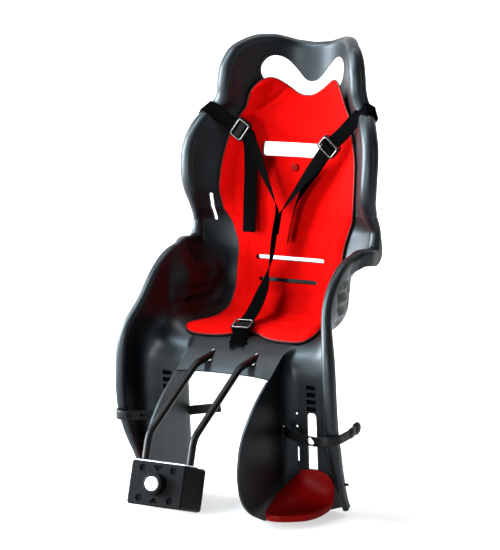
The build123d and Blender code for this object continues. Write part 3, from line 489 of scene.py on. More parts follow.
v_rows = list(np.arange(HEAD_V, V_FAN, 6.0)) + list(np.linspace(V_FAN, V_PAN, 100)[:-1]) + list(np.linspace(V_PAN, V_EDGE, 6))
full_rows = [tub_row(v) for v in v_rows]
n_tub = len(full_rows)
for psi in np.linspace(0, 90, 31)[1:]:
    re, rb, rt, xr = [float(f(psi)) for f in f2]
    h = guard_half(re, rb, rt, xr)
    c, s = math.cos(math.radians(psi)), math.sin(math.radians(psi))
    outer = np.stack([h[:, 0], P2Y - h[:, 1] * s, P2Z + h[:, 1] * c], 1)
    inner = np.array([(t * 158.0, P2Y - re * s, P2Z + re * c) for t in T_IN[:-1]])
    full_rows.append(np.vstack([inner, outer]))
n_full = len(full_rows)
g_rows = []
for z in np.linspace(238, 0, 41)[1:]:
    fr, ba, xo, yo = [float(f(z)) for f in gd]
    h = guard_half(-fr, -ba, -yo, xo)
    g_rows.append(np.stack([h[:, 0], -h[:, 1], np.full(len(h), z)], 1))
# even out the change from the pan to the guards
outer_all = [r[NC:] for r in full_rows] + g_rows
sm = smooth_rows(outer_all[n_tub - 8:n_full + 12], 14)
for i, r in enumerate(sm):
    k = n_tub - 8 + i
    if k < n_full:
        full_rows[k][NC:] = r
    else:
        g_rows[k - n_full] = r
for k in range(n_tub - 8, n_full):
    full_rows[k][:NC, 1:] += (full_rows[k][NC, 1:] - full_rows[k][NC - 1, 1:]) * np.linspace(0, 1, NC)[:, None] ** 3

# the outer rear corner of a guard ends a little higher
for r in g_rows:
    r[:, 2] += 10.0 * np.clip((r[:, 0] - 150) / 30, 0, 1) * np.clip((r[:, 1] - 8) / 34, 0, 1) * np.clip(1 - r[:, 2] / 70, 0, 1)
# outer side under the arm rests: drawn in and fluted
for r in full_rows[:n_tub]:
    x, y, z = r[:, 0].copy(), r[:, 1], r[:, 2]
    draw = np.clip((x - 112) / 34, 0, 1) ** 1.5 * np.clip((y - 50) / 40, 0, 1) * np.clip((414 - z) / 26, 0, 1) * np.clip((z - 262) / 20, 0, 1)
    wgt = np.clip((x - 140) / 10, 0, 1) * np.clip((y - 38) / 25, 0, 1) * np.clip((230 - y) / 25, 0, 1)
    wgt = wgt * np.clip((392 - z) / 16, 0, 1) * np.clip((z - 276) / 8, 0, 1)
    r[:, 0] = x - 21.0 * draw * np.exp(-(((z - 364) / 42.0) ** 2)) + 2.3 * wgt * np.cos(2 * math.pi * (z - 284) / 21.0)

verts, faces = [], []
half_cols = len(T_ALL)
full_cols = 2 * half_cols - 1
for r in full_rows:
    left = r[:0:-1] * [-1, 1, 1]
    verts += list(left) + list(r)
faces += grid_faces(len(full_rows), full_cols)
base_last = (len(full_rows) - 1) * full_cols
ng = len(G_XS)
start_r = len(verts)
for r in g_rows:
    verts += list(r)
start_l = len(verts)
for r in g_rows:
    verts += list(r * [-1, 1, 1])


def g_index(side, row, col):
    """Vertex of a guard block; row -1 is the last full row."""
    if row < 0:
        mid = base_last + half_cols - 1
        return mid + (NC + col) if side > 0 else mid - (NC + col)
    return (start_r if side > 0 else start_l) + row * ng + col


for side in (1, -1):
    for i in range(-1, len(g_rows) - 1):
        for j in range(ng - 1):
            q = (g_index(side, i, j), g_index(side, i, j + 1), g_index(side, i + 1, j + 1), g_index(side, i + 1, j))
            faces.append(q if side > 0 else q[::-1])

# rim: from the right guard's foot up, over the head and down to the left guard's foot
edge_ids, inner_ids = [], []
for i in range(len(g_rows) - 1, -1, -1):
    edge_ids.append(g_index(1, i, ng - 1))
    inner_ids.append(g_index(1, i, ng - 2))
for i in range(len(full_rows) - 1, 0, -1):
    edge_ids.append(i * full_cols + full_cols - 1)
    inner_ids.append(i * full_cols + full_cols - 2)
corner_at = len(edge_ids)
for j in range(full_cols - 1, -1, -1):
    edge_ids.append(j)
    inner_ids.append(full_cols + j if 0 < j < full_cols - 1 else (full_cols + full_cols - 2 if j else full_cols + 1))
for i in range(1, len(full_rows)):
    edge_ids.append(i * full_cols)
    inner_ids.append(i * full_cols + 1)
for i in range(len(g_rows)):
    edge_ids.append(g_index(-1, i, ng - 1))
    inner_ids.append(g_index(-1, i, ng - 2))
vv = np.array(verts)
e, q = vv[edge_ids], vv[inner_ids]
tan = np.gradient(e, axis=0)
tan /= np.linalg.norm(tan, axis=1)[:, None]
# round the head the rim's direction is evened out along its length
run = np.concatenate([[0.0], np.cumsum(np.linalg.norm(np.diff(e, axis=0), axis=1))])
even = np.exp(-0.5 * ((run[:, None] - run[None, :]) / 17.0) ** 2) * np.gradient(run)[None, :]
even /= even.sum(1, keepdims=True)
top_w = np.clip((e[:, 2] - 630) / 40, 0, 1)[:, None]
tan = (1 - top_w) * tan + top_w * (even @ tan)
tan /= np.linalg.norm(tan, axis=1)[:, None]
out = e - q
out -= tan * np.sum(out * tan, 1)[:, None]
out /= np.linalg.norm(out, axis=1)[:, None]
for _ in range(5):
    out[1:-1] = 0.25 * out[:-2] + 0.5 * out[1:-1] + 0.25 * out[2:]
out = (1 - top_w) * out + top_w * (even @ out)
out -= tan * np.sum(out * tan, 1)[:, None]
out /= np.linalg.norm(out, axis=1)[:, None]
backward = np.cross(out, tan)
ref = np.array([(np.sign(a[0]) * 1.0, 0.6, -0.2) for a in e])
if np.sum(backward * ref) < 0:
    backward = -backward
arm = np.clip(1 - np.abs(e[:, 2] - 423) / 30, 0, 1) * (e[:, 1] > 40)
arm_rear = np.clip(1 - np.abs(e[:, 1] - 150) / 60, 0, 1) * arm
head = np.clip((e[:, 2] - 650) / 60, 0, 1)
low = np.clip((330 - e[:, 2]) / 60, 0, 1)
wing = np.clip((e[:, 2] - 462) / 45, 0, 1) * np.where(e[:, 2] > 700, np.clip((np.abs(e[:, 0]) - 84) / 22, 0, 1), 1.0)
for _ in range(8):
    for a in (arm, arm_rear, head, low, wing):
        a[1:-1] = 0.25 * a[:-2] + 0.5 * a[1:-1] + 0.25 * a[2:]
wing = (1 - top_w[:, 0]) * wing + top_w[:, 0] * (even @ wing)
bottom = np.clip((120 - e[:, 2]) / 100, 0, 1)
R = 8.0 + np.maximum(3.0 * head, 6.2 * wing) - 3.6 * bottom
flat = 1.0 + 9.0 * arm_rear + 3.0 * low - 0.4 * wing - 2.0 * bottom
skirt = 5.0 + 16.0 * arm + 3.0 * low
ring = [edge_ids]
steps = [("a", k / 4) for k in (1, 2, 3, 4)] + [("f", 0.5), ("f", 1.0)] + [("b", k / 4) for k in (1, 2, 3, 4)] + [("s", 0.5), ("s", 1.0)]
for kind, k in steps:
    if kind == "a":
        a = k * math.pi / 2
        p = e + R[:, None] * (math.sin(a) * out + (1 - math.cos(a)) * backward)
    elif kind == "f":
        p = e + R[:, None] * (out + backward) + (flat * k)[:, None] * backward
    elif kind == "b":
        a = k * math.pi / 2
        p = e + R[:, None] * (out + backward) + flat[:, None] * backward + R[:, None] * (math.sin(a) * backward - (1 - math.cos(a)) * out)
    else:
        p = e + (2 * R + flat)[:, None] * backward - (skirt * k)[:, None] * out
    ids = list(range(len(verts), len(verts) + len(p)))
    verts += list(p)
    ring.append(ids)
for a, b in zip(ring[:-1], ring[1:]):
    for i in range(len(a) - 1):
        faces.append((a[i], a[i + 1], b[i + 1], b[i]))
shell = new_mesh("shell_moulding", verts, faces, M["shell"])
fix_normals(shell)
# normals towards the child, so the wall grows outwards
me = shell.data
probe = min(me.polygons, key=lambda p: (p.center - Vector((0, 0.215, 0.55))).length)
if probe.normal.y > 0:
    me.flip_normals()
so = shell.modifiers.new("wall", "SOLIDIFY")
so.thickness = 0.0038
so.offset = -1
so.use_even_offset = False
so.use_quality_normals = True
bake(shell)

cutters = []
xz = ((1, 0, 0), (0, 0, 1))


def cut_xz(name, outline, x, z, y0, y1):
    cutters.append(prism(name, [(a, b) for a, b in outline], (x, y1, z), xz[0], xz[1], y1 - y0))


hole = catmull([(0, 698), (14, 703), (32, 724), (48, 740), (62, 743), (73, 735), (75, 718), (64, 694), (34, 676), (0, 668),
                (-34, 676), (-64, 686), (-80, 706), (-82, 724), (-74, 738), (-62, 742), (-46, 736), (-30, 721), (-13, 703)], 6, True)
cut_xz("cut_head", [tuple(h) for h in hole], 0, 0, 190, 340)
cut_xz("cut_window", round_rect(138, 25, 6), 0, 582.5, 205, 300)
cut_xz("cut_slot1", slot_outline(132, 8), 0, 395.5, 190, 300)
for s in (1, -1):
    cut_xz("cut_vent%d" % s, slot_outline(5.5, 50), 153 if s > 0 else -142, 496 if s > 0 else 481, 130, 240)
cutters.append(prism("cut_crotch", slot_outline(38, 7), (-6, 24, 240), (1, 0, 0), (0, 1, 0), 60))
run = np.array([0, 227.0, 22.0])
run /= np.linalg.norm(run)
for s in (1, -1):
    cutters.append(prism("cut_rod%d" % s, slot_outline(12.7, 14.5), (s * 41, -59, 254), (1, 0, 0), np.cross(run, (1, 0, 0)), 90))
sdir = np.array([0, -12.0, 145.0])
sdir /= np.linalg.norm(sdir)
sfwd = np.cross((1, 0, 0), sdir)  # towards the foot


def slot_pt(s, p, q, r):
    return np.array([s * 136.5 + p, 21.2, 70.0]) + sdir * q + sfwd * r


for s in (1, -1):
    cutters.append(prism("cut_foot%d" % s, slot_outline(17, 131), slot_pt(s, 0, 38.5, -14), (1, 0, 0), sdir, 40))
    for k in range(4):
        cutters.append(prism("cut_lad%d%d" % (s, k), round_rect(17, 8, 1.5, 2), slot_pt(s, 0, 110 + 12.4 * k, -12), (1, 0, 0), sdir, 40))
    for q in (100, 78):
        cutters.append(prism("cut_dot%d%d" % (s, q), slot_outline(4.4, 4.41), slot_pt(s, -s * 27.5, q, -12), (1, 0, 0), sdir, 30))
    cutters.append(prism("cut_slit%d" % s, slot_outline(3.6, 26), slot_pt(s, -s * 26.5, 30, -12), (1, 0, 0), sdir, 30))
    cutters.append(prism("cut_strap%d" % s, round_rect(7, 17.5, 2, 3), (s * 87 - 12, 2.5, 140 if s > 0 else 156.5), (0, 1, 0), (0, 0, 1), 24))


def cut_away(ob, cutters):
    """Cuts joined closed forms out of a piece and removes them."""
    bm = bmesh.new()
    for c in cutters:
        bm.from_mesh(c.data)
    cm = bpy.data.meshes.new("cutter")
    bm.to_mesh(cm)
    bm.free()
    cutter = bpy.data.objects.new("cutter", cm)
    bpy.context.scene.collection.objects.link(cutter)
    bo = ob.modifiers.new("cut", "BOOLEAN")
    bo.operation = "DIFFERENCE"
    bo.solver = "MANIFOLD"
    bo.object = cutter
    bake(ob)
    for c in cutters + [cutter]:
        d = c.data
        bpy.data.objects.remove(c)
        bpy.data.meshes.remove(d)


cut_away(shell, cutters)
shell.data.materials.clear()
shell.data.materials.append(M["shell"])
sharpen(shell, 42)
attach(shell, "seat")
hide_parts("seat_shell")

# closed pockets behind the catches above the slots, lined with the near-black matte material as painted shade
for s in (1, -1):
    pk = prism("catch_pocket_%s" % ("right" if s > 0 else "left"), round_rect(23, 56, 3, 3), slot_pt(s, 0, 130, -8.5), (1, 0, 0), sdir, 4.4)
    pk.data.materials.append(M["shell"])
    cut_away(pk, [prism("pocket", round_rect(17.4, 49, 2, 3), slot_pt(s, 0, 129, -7.2), (1, 0, 0), sdir, 9)])
    pk.data.materials.clear()
    pk.data.materials.append(M["deep"])
    sharpen(pk)
    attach(pk, "seat")

# saddle under the pan that holds the fork
s_ob = prism("fork_saddle", round_rect(140, 60, 8), (0, 95.4, 268.9) + 1.0 * np.cross((1, 0, 0), run), (1, 0, 0), run, 17.0)
s_ob.data.materials.append(M["shell"])
bv = s_ob.modifiers.new("soft", "BEVEL")
bv.width = 0.0012
bv.segments = 2
bake(s_ob)
sharpen(s_ob)
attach(s_ob, "seat")

# ----------------------------------------------------------------------------
# pad
# ----------------------------------------------------------------------------
pad_w = table([(90, 91), (96, 92), (110, 94), (128, 97), (145, 101), (160, 107), (200, 122), (240, 130), (280, 132), (320, 126),
               (360, 111), (400, 101), (440, 100), (486, 100), (528, 105), (559, 115), (583, 121), (597, 119), (613, 108)])
lobe = table([(0, 671), (0.15, 673.5), (0.35, 684), (0.55, 695), (0.7, 702), (0.8, 703.5), (0.9, 699.5), (0.97, 690), (1.0, 682)])
front = table([(0, 577), (0.1, 580), (0.22, 592), (0.36, 600), (0.55, 604), (0.74, 605), (0.88, 602), (0.96, 597), (1.0, 589)])
NU, NV = 61, 130
us = np.sin(np.linspace(-1, 1, NU) * math.pi / 2) * 0.35 + np.linspace(-1, 1, NU) * 0.65
grid_v = np.zeros((NV, NU))
ss = np.linspace(0, 1, NV)
ss = ss * 0.6 + 0.4 * (1 - np.cos(ss * math.pi)) / 2
for j, u in enumerate(us):
    v0, v1 = 800 - float(lobe(abs(u))), float(front(abs(u)))
    grid_v[:, j] = v0 + (v1 - v0) * ss
gu = np.broadcast_to(us, (NV, NU))
gx = gu * pad_w(grid_v)
surf = tub_point(grid_v, gx)
nrm = tub_normal(grid_v, gx)
if nrm[NV // 3, NU // 2, 1] > 0:
    nrm = -nrm
edge_u = (1 - np.abs(gu)) * pad_w(grid_v)
edge_v = np.minimum(ss, 1 - ss)[:, None] * 500 * np.ones((1, NU))
edge_d = np.minimum(edge_u, edge_v)
puff = 1 - np.exp(-np.clip(edge_d, 0, None) / 7.0)
height = 2.2 + 2.6 + 5.6 * puff
# sewn channels: two arcs that follow the sides, cross lines at the shoulders and under the slots


def channel(d, w, depth):
    return -depth * np.exp(-((d / w) ** 2))


side_line = np.abs(gx) - (pad_w(grid_v) - 26 + 6 * np.sin((grid_v - 130) / 90))
height += channel(side_line, 4.5, 0.7) * (edge_d > 6)
low_arc = grid_v - (452 + 0.0016 * gx**2)
height += channel(low_arc, 5.0, 2.2) * (np.abs(gx) < pad_w(grid_v) - 8)
up_arc = grid_v - (190 - 0.0018 * gx**2)
height += channel(up_arc, 4.0, 0.5) * (np.abs(gx) < pad_w(grid_v) - 8)
# darts at the top lobes and loose creases where the back turns into the pan
for sx in (1, -1):
    dart = (grid_v - 127) - 0.75 * (gx * sx - 52)
    height += channel(dart, 4.5, 3.2) * np.exp(-(((gx * sx - 58) / 24) ** 2)) * (grid_v < 175)
for v_, k_, x_, l_, h_ in ((470, 0.10, 20, 60, 1.6), (486, -0.06, -10, 70, 2.2), (501, 0.05, 25, 60, 2.0), (515, -0.03, 0, 75, 1.6),
                           (335, 0.35, 60, 30, 1.8), (300, -0.3, -70, 26, 1.4), (352, 0.2, 40, 34, 1.5), (245, -0.25, -60, 30, 1.4)):
    height += channel(grid_v - v_ - k_ * (gx - x_), 5.0, h_) * np.exp(-(((gx - x_) / l_) ** 2))
rng = np.random.default_rng(7)
wob = np.zeros_like(height)
for k in range(26):
    a, b, c, d = rng.normal(0, 0.05), rng.normal(0, 0.05), rng.uniform(0, 6.28), rng.uniform(0.3, 1.0)
    wob += d * np.sin(a * gx + b * grid_v + c)
height += 0.2 * wob * puff
# the top flap stands off the shell
height += 11.0 * np.clip((168 - grid_v) / 75, 0, 1) ** 1.5
top = surf + nrm * height[..., None]
under = surf + nrm * (1.4 + 11.0 * np.clip((168 - grid_v) / 75, 0, 1) ** 1.5)[..., None]
# closed form: the top, a rounded side and the underside
pv, pf = list(top.reshape(-1, 3)), grid_faces(NV, NU)
k0 = len(pv)
pv += list(under.reshape(-1, 3))
pf += [tuple(k0 + i for i in f[::-1]) for f in grid_faces(NV, NU)]
loop = [j for j in range(NU)] + [i * NU + NU - 1 for i in range(1, NV)] + [(NV - 1) * NU + j for j in range(NU - 2, -1, -1)] + [i * NU for i in range(NV - 2, 0, -1)]
for a, b in zip(loop, loop[1:] + loop[:1]):
    pf.append((b, a, k0 + a, k0 + b))
pad = new_mesh("seat_pad_cover", pv, pf, M["pad"])
fix_normals(pad)
bpy.context.view_layer.update()
cutters = []


def cut_pad(name, outline, z, y0=150, y1=330):
    cutters.append(prism(name, outline, (0, y1, z), xz[0], xz[1], y1 - y0))


cut_pad("pc1", round_rect(138, 25, 6), 582.5)
cut_pad("pc2", slot_outline(132, 8), 395.5)
cut_pad("pc3", slot_outline(112, 8), 358)
for s in (1, -1):
    for dy in (-17, 17):
        o = np.array([0, 95.4, 268.9]) + run * dy + np.cross((1, 0, 0), run) * 12
        cutters.append(prism("pb%d%d" % (s, dy), slot_outline(17, 17.01), o + [s * 60, 0, 0], (1, 0, 0), run, 12))
cut_away(pad, cutters)
pad.data.materials.clear()
pad.data.materials.append(M["pad"])
sharpen(pad, 50)
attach(pad, "seat")
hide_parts("seat_pad")


def tube(name, path, radius, material, closed=False, n=8):
    """Round bar along a fine path, drawing millimetres."""
    p = np.array(path, float)
    m_ = len(p)
    if closed:
        t_ = np.roll(p, -1, 0) - np.roll(p, 1, 0)
    else:
        t_ = np.gradient(p, axis=0)
    t_ /= np.linalg.norm(t_, axis=1)[:, None]
    nv = np.cross(t_[0], (0.3, 0.5, 0.81))
    nv /= np.linalg.norm(nv)
    vs = []
    for i in range(m_):
        nv = nv - t_[i] * np.dot(nv, t_[i])
        nv /= np.linalg.norm(nv)
        bv_ = np.cross(t_[i], nv)
        for k in range(n):
            a = 2 * math.pi * k / n
            vs.append(p[i] + radius * (math.cos(a) * nv + math.sin(a) * bv_))
    fs = []
    for i in range(m_ if closed else m_ - 1):
        for k in range(n):
            a, b = i * n, ((i + 1) % m_) * n
            fs.append((a + k, a + (k + 1) % n, b + (k + 1) % n, b + k))
    if not closed:
        fs += [tuple(range(n))[::-1], tuple(range((m_ - 1) * n, m_ * n))]
    ob = new_mesh(name, vs, fs, material)
    fix_normals(ob)
    return ob


mid = 0.5 * (top + under)
path = mid.reshape(-1, 3)[loop]
keep = [0]
for i in range(1, len(path)):
    if np.linalg.norm(path[i] - path[keep[-1]]) > 2.0:
        keep.append(i)
path = path[keep]
for _ in range(3):
    path = 0.25 * np.roll(path, 1, 0) + 0.5 * path + 0.25 * np.roll(path, -1, 0)
piping = tube("pad_piping_edge", path, 1.9, M["piping"], True, 10)
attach(piping, "seat")


# ----------------------------------------------------------------------------
# webbing
# ----------------------------------------------------------------------------
def ribbon(name, stations, width, thick, material, per=10, replaces=None):
    """Flat band through stations (point, across); returns the object and its length in metres."""
    p = catmull([s[0] for s in stations], per)
    a = catmull([np.array(s[1], float) / np.linalg.norm(s[1]) for s in stations], per)
    t_ = np.gradient(p, axis=0)
    t_ /= np.linalg.norm(t_, axis=1)[:, None]
    a -= t_ * np.sum(a * t_, 1)[:, None]
    a /= np.linalg.norm(a, axis=1)[:, None]
    nn = np.cross(t_, a)
    w, h = width / 2, thick / 2
    prof = [(-w, -h * 0.5), (-w, h * 0.5), (-w + h, h), (-w / 3, h), (w / 3, h), (w - h, h), (w, h * 0.5), (w, -h * 0.5), (w - h, -h), (w / 3, -h), (-w / 3, -h), (-w + h, -h)]
    k_ = len(prof)
    vs = [p[i] + x * a[i] + y * nn[i] for i in range(len(p)) for x, y in prof]
    fs = grid_faces(len(p), k_, closed=True)
    fs += [tuple(range(k_))[::-1], tuple(range((len(p) - 1) * k_, len(p) * k_))]
    ob = new_mesh(name, vs, fs, material)
    run_ = np.concatenate([[0], np.cumsum(np.linalg.norm(np.diff(p, axis=0), axis=1))])
    layer = ob.data.uv_layers.new(name="UVMap")
    for poly in ob.data.polygons:
        for li in poly.loop_indices:
            vi = ob.data.loops[li].vertex_index
            layer.data[li].uv = (prof[vi % k_][0] * MM, run_[vi // k_] * MM)
    bm_ = bmesh.new()
    bm_.from_mesh(ob.data)
    bmesh.ops.recalc_face_normals(bm_, faces=bm_.faces)
    bm_.to_mesh(ob.data)
    bm_.free()
    sharpen(ob, 50)
    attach(ob, "seat")
    if replaces:
        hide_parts(replaces)
    return ob, run_[-1] * MM


def wrap(side, z):
    """Stations close round the rolled rim at the neck, from behind to the front."""
    i = min((k for k in range(len(e)) if e[k, 0] * side > 0 and e[k, 2] > 600), key=lambda k: abs(e[k, 2] - z))
    ac = tan[i] * np.sign(tan[i][2])
    c1, c2 = e[i] + R[i] * backward[i], e[i] + (R[i] + flat[i]) * backward[i]
    st = []
    for t in (95, 55, 15):
        d_ = math.cos(math.radians(t)) * out[i] + math.sin(math.radians(t)) * backward[i]
        st.append((tuple(c2 + (R[i] + 2.4) * d_), tuple(ac)))
    for t in (70,):
        d_ = math.sin(math.radians(t)) * out[i] - math.cos(math.radians(t)) * backward[i]
        st.append((tuple(c1 + (R[i] + 2.4) * d_), tuple(ac)))
    return st


SHOULDER_L = [((-100, 237, 608), (0.6, 0, 1)), ((-122, 238, 628), (0.55, 0.1, 1))] + wrap(-1, 645) + [((-112, 187, 632), (0.55, 0, 1)), ((-90.5, 192, 618.6), (0.6, 0, 1)),
              ((-78.8, 193.9, 610), (0.62, 0, 1)), ((-75.8, 198.5, 594), (0.95, 0, 0.4)), ((-77.5, 202.5, 580), (1, 0, 0)), ((-77.5, 204, 545), (1, 0, 0)), ((-77, 200, 500), (1, 0, 0)), ((-75.5, 194, 439), (1, 0, 0))]
SHOULDER_R = [((100, 237, 608), (-0.6, 0, 1)), ((122, 238, 630), (-0.55, 0.1, 1))] + wrap(1, 649) + [((108, 189, 622), (-0.6, 0, 1)), ((78.5, 195, 596.1), (-0.7, 0, 0.8)),
              ((52, 204, 563), (-0.75, 0.2, 0.7)), ((28, 203, 524), (-0.6, 0.75, 0.4)), ((14, 199, 494), (-0.45, 0.9, 0.1)), ((5, 197, 462), (-0.42, 0.9, 0)), ((0, 193, 425.6), (-0.42, 0.9, 0))]
CHEST_L = [((-90.5, 189.0, 618.6), (0.6, 0, 1)), ((-81, 190.4, 611.6), (0.62, 0, 1)), ((-70, 193, 592), (0.8, -0.1, 0.55)), ((-61.4, 195, 574), (0.8, -0.35, 0.5)),
           ((-40.7, 193, 531.8), (0.75, -0.75, 0.4)), ((-24, 189, 500), (0.5, -0.9, 0.25)), ((-17.5, 187, 478), (0.25, -1, 0.1)), ((-20.7, 184, 443.7), (0.1, -1, 0)),
           ((-23.3, 178, 402.3), (0.2, -1, 0)), ((-25, 163, 371), (0.6, -0.8, 0)), ((-22, 139, 345.2), (1, -0.3, 0)), ((-18.5, 100, 318), (1, 0, 0)), ((-14.1, 55, 302), (1, 0, 0))]
CHEST_R = [((78.5, 192.0, 596.1), (-0.7, 0, 0.8)), ((54.9, 196, 566.5), (-0.75, 0.2, 0.7)), ((27.5, 194, 532.4), (-0.6, 0.7, 0.5)), ((6, 191, 502), (-0.45, 0.9, 0.3)),
           ((-9, 187.5, 481), (-0.2, 1, 0.2)), ((-15.5, 184.5, 462), (0, 1, 0)), ((-17.7, 182, 440), (0, 1, 0))]
CROTCH = [((-14.1, 55, 299.2), (1, 0, 0)), ((-12, 36, 289), (1, 0, 0)), ((-9, 26, 279.5), (1, 0, 0)), ((-8, 24, 269), (1, 0, 0)), ((-8, 24, 258.5), (1, 0, 0))]
for nm, st in (("shoulder_strap_left", SHOULDER_L), ("shoulder_strap_right", SHOULDER_R), ("chest_strap_left", CHEST_L), ("chest_strap_right", CHEST_R), ("crotch_strap", CROTCH)):
    ob, ln = ribbon(nm + "_web", st, 25, 1.6, M["web"], replaces=nm)

# ----------------------------------------------------------------------------
# foot straps
# ----------------------------------------------------------------------------
FS_R = [((80, 5, 140), (0, 0, 1)), ((92, 0, 140), (0, 0, 1)), ((106, -9, 139.5), (0, 0, 1)), ((140, -24, 137), (0, 0, 1)), ((170, -40, 139), (0, 0, 1)),
        ((186, -49.5, 142), (0, 0, 1)), ((200, -48, 144), (0, 0, 1)), ((208.5, -35, 145), (0, 0, 1)), ((210, -12, 146), (0, 0, 1)), ((209, 18, 147), (0, 0, 1)), ((205, 48, 148), (0, 0, 1))]
FS_L = [((-209, -14, 148), (0, 0, 1)), ((-208.5, -35, 148), (0, 0, 1)), ((-200, -48.5, 148), (0, 0, 1)), ((-186, -50, 148), (0, 0, 1)), ((-170, -40, 148), (0, 0, 1)),
        ((-140, -22, 149.5), (0, 0, 1)), ((-106, -8, 153.5), (0, 0, 1)), ((-92, 0, 156), (0, 0, 1)), ((-78, 6, 158.5), (0, 0, 1)), ((-58, 13, 161), (0, 0, 1)), ((-38, 20, 164), (0, 0, 1))]
for nm, st in (("foot_strap_right", FS_R), ("foot_strap_left", FS_L)):
    ob, ln = ribbon(nm + "_band", st, 16, 3.2, M["rubber"], replaces=nm)
    if nm == "foot_strap_right":
        drop = [(9.2 * math.cos(a), 5.0 * math.sin(a)) for a in np.linspace(math.pi * 0.78, math.pi * 2.22, 15)] + [(1.0, 6.9), (-1.0, 6.9)]
        holes = [prism("drop", drop, (157.5, -20, 137.0), (1, 0, 0), (0, 0, 1), 24)]
    else:
        holes = [prism("hole", slot_outline(6.4, 6.41), (-179, -34, 148), (1, 0, 0), (0, 0, 1), 24),
                 prism("key", slot_outline(6.0, 6.01), (-161, -24, 148.4), (1, 0, 0), (0, 0, 1), 24),
                 prism("slit", slot_outline(13, 2.6), (-152.5, -20, 148.8), (1, 0, 0), (0, 0, 1), 24)]
    cut_away(ob, holes)
    ob.data.materials.clear()
    ob.data.materials.append(M["rubber"])
    sharpen(ob, 50)


# ----------------------------------------------------------------------------
# foot rests: a leaf-shaped scoop
# ----------------------------------------------------------------------------
def rest_mesh(side):
    """Back plate that sweeps into a dished sole with a turned-down lip, in its lowest place."""
    nu, nv_ = 37, 49
    left = [(0, 118, 16.5, 74), (0.1, 110, 16, 66), (0.25, 101, 5, 56), (0.45, 95.5, -20, 43), (0.65, 93.5, -48, 30), (0.82, 95, -68, 22.5),
            (0.93, 98.5, -78, 19.5), (1, 103, -83, 19)]
    line = [(0, 134, 16.5, 75.8), (0.1, 136, 16, 68), (0.25, 138, 14.5, 54), (0.4, 139, 9, 38), (0.52, 137, -6, 25), (0.64, 134, -26, 19.5),
            (0.78, 129, -48, 18), (0.9, 122, -70, 18), (0.97, 115, -82, 18.5), (1, 107.5, -85, 19)]
    right_ = [(0, 150, 16.5, 75.5), (0.1, 163, 16.5, 72), (0.25, 174, 15.5, 60), (0.38, 179, 14, 46), (0.48, 179, 10, 34), (0.57, 177, 0, 25),
              (0.68, 174, -25, 21), (0.8, 165, -55, 19.5), (0.9, 143, -75, 19), (0.97, 121, -85.5, 19), (1, 112, -86, 19)]
    curve = lambda rows: [table([(r[0], r[c]) for r in rows]) for c in (1, 2, 3)]
    cl, cm_, cr = curve(left), curve(line), curve(right_)
    top_, bot_ = [], []
    for i in range(nv_):
        k = i / (nv_ - 1)
        a, m_, b = [np.array([float(f(k)) for f in c]) for c in (cl, cm_, cr)]
        g = float(np.clip((k - 0.16) / 0.3, 0, 1))
        g = g * g * (3 - 2 * g)
        for j in range(nu):
            u = j / (nu - 1)
            w = 2 * u - 1
            pt = m_ + 0.5 * w * (b - a) + abs(w) ** 2.6 * (0.5 * (a + b) - m_)
            lip = max(np.clip((u - 0.9) / 0.1, 0, 1) * np.clip((k - 0.12) / 0.15, 0, 1), np.clip((k - 0.93) / 0.07, 0, 1)) * 7.5
            low_ = pt + np.array([0, 2.2 * (1 - g), -3.0 * g - lip])
            top_.append(pt * [side, 1, 1])
            bot_.append(low_ * [side, 1, 1])
    vs = top_ + bot_
    n_ = nu * nv_
    fs = grid_faces(nv_, nu) + [tuple(n_ + i for i in f[::-1]) for f in grid_faces(nv_, nu)]
    lp = [j for j in range(nu)] + [i * nu + nu - 1 for i in range(1, nv_)] + [(nv_ - 1) * nu + j for j in range(nu - 2, -1, -1)] + [i * nu for i in range(nv_ - 2, 0, -1)]
    for a, b in zip(lp, lp[1:] + lp[:1]):
        fs.append((b, a, n_ + a, n_ + b))
    name = "foot_rest_right" if side > 0 else "foot_rest_left"
    ob = new_mesh(name + "_scoop", vs, fs, M["rest"])
    fix_normals(ob)
    bv_ = ob.modifiers.new("soft", "BEVEL")
    bv_.width = 0.0009
    bv_.segments = 2
    bv_.limit_method = "ANGLE"
    bv_.angle_limit = math.radians(50)
    bake(ob)
    sharpen(ob, 45)
    body = "footrest_right" if side > 0 else "footrest_left"
    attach(ob, body)
    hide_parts(name)
    stem = prism(name + "_stem", round_rect(14.4, 18, 2, 3), slot_pt(side, 0, -8, -10), (1, 0, 0), sdir, 14)
    flange = prism(name + "_flange", round_rect(30, 20, 3, 3), slot_pt(side, 0, -8, -13), (1, 0, 0), sdir, 4)
    for o_ in (stem, flange):
        o_.data.materials.append(M["rest"])
        sharpen(o_)
        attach(o_, body)


rest_mesh(1)
rest_mesh(-1)

# ----------------------------------------------------------------------------
# finish on the CAD pieces that stay
# ----------------------------------------------------------------------------
look = {
    "pad_snap": "rest", "strap_adjuster_left": "slider", "strap_adjuster_right": "slider", "crotch_adjuster": "slider",
    "strap_anchor_screws": "steel", "crotch_strap_stop": "slider", "mounting_fork": "rod", "fork_clamp_plate": "steel",
    "fork_clamp_bolts": "steel", "fork_clamp_nuts": "steel", "bracket_front": "bracket", "bracket_rear": "bracket",
    "bracket_bolts": "dark_steel", "bracket_nuts": "steel", "release_button": "button", "latch_bar": "steel", "button_spring": "steel",
}
for nm, mat in look.items():
    o = nodes[nm]
    o.data.materials.clear()
    o.data.materials.append(M[mat])

# ----------------------------------------------------------------------------
# small pieces: slider wires, strap ends, pegs, painted highlight and painted shade pieces on the bracket
# ----------------------------------------------------------------------------
def unit(v):
    v = np.array(v, float)
    return v / np.linalg.norm(v)


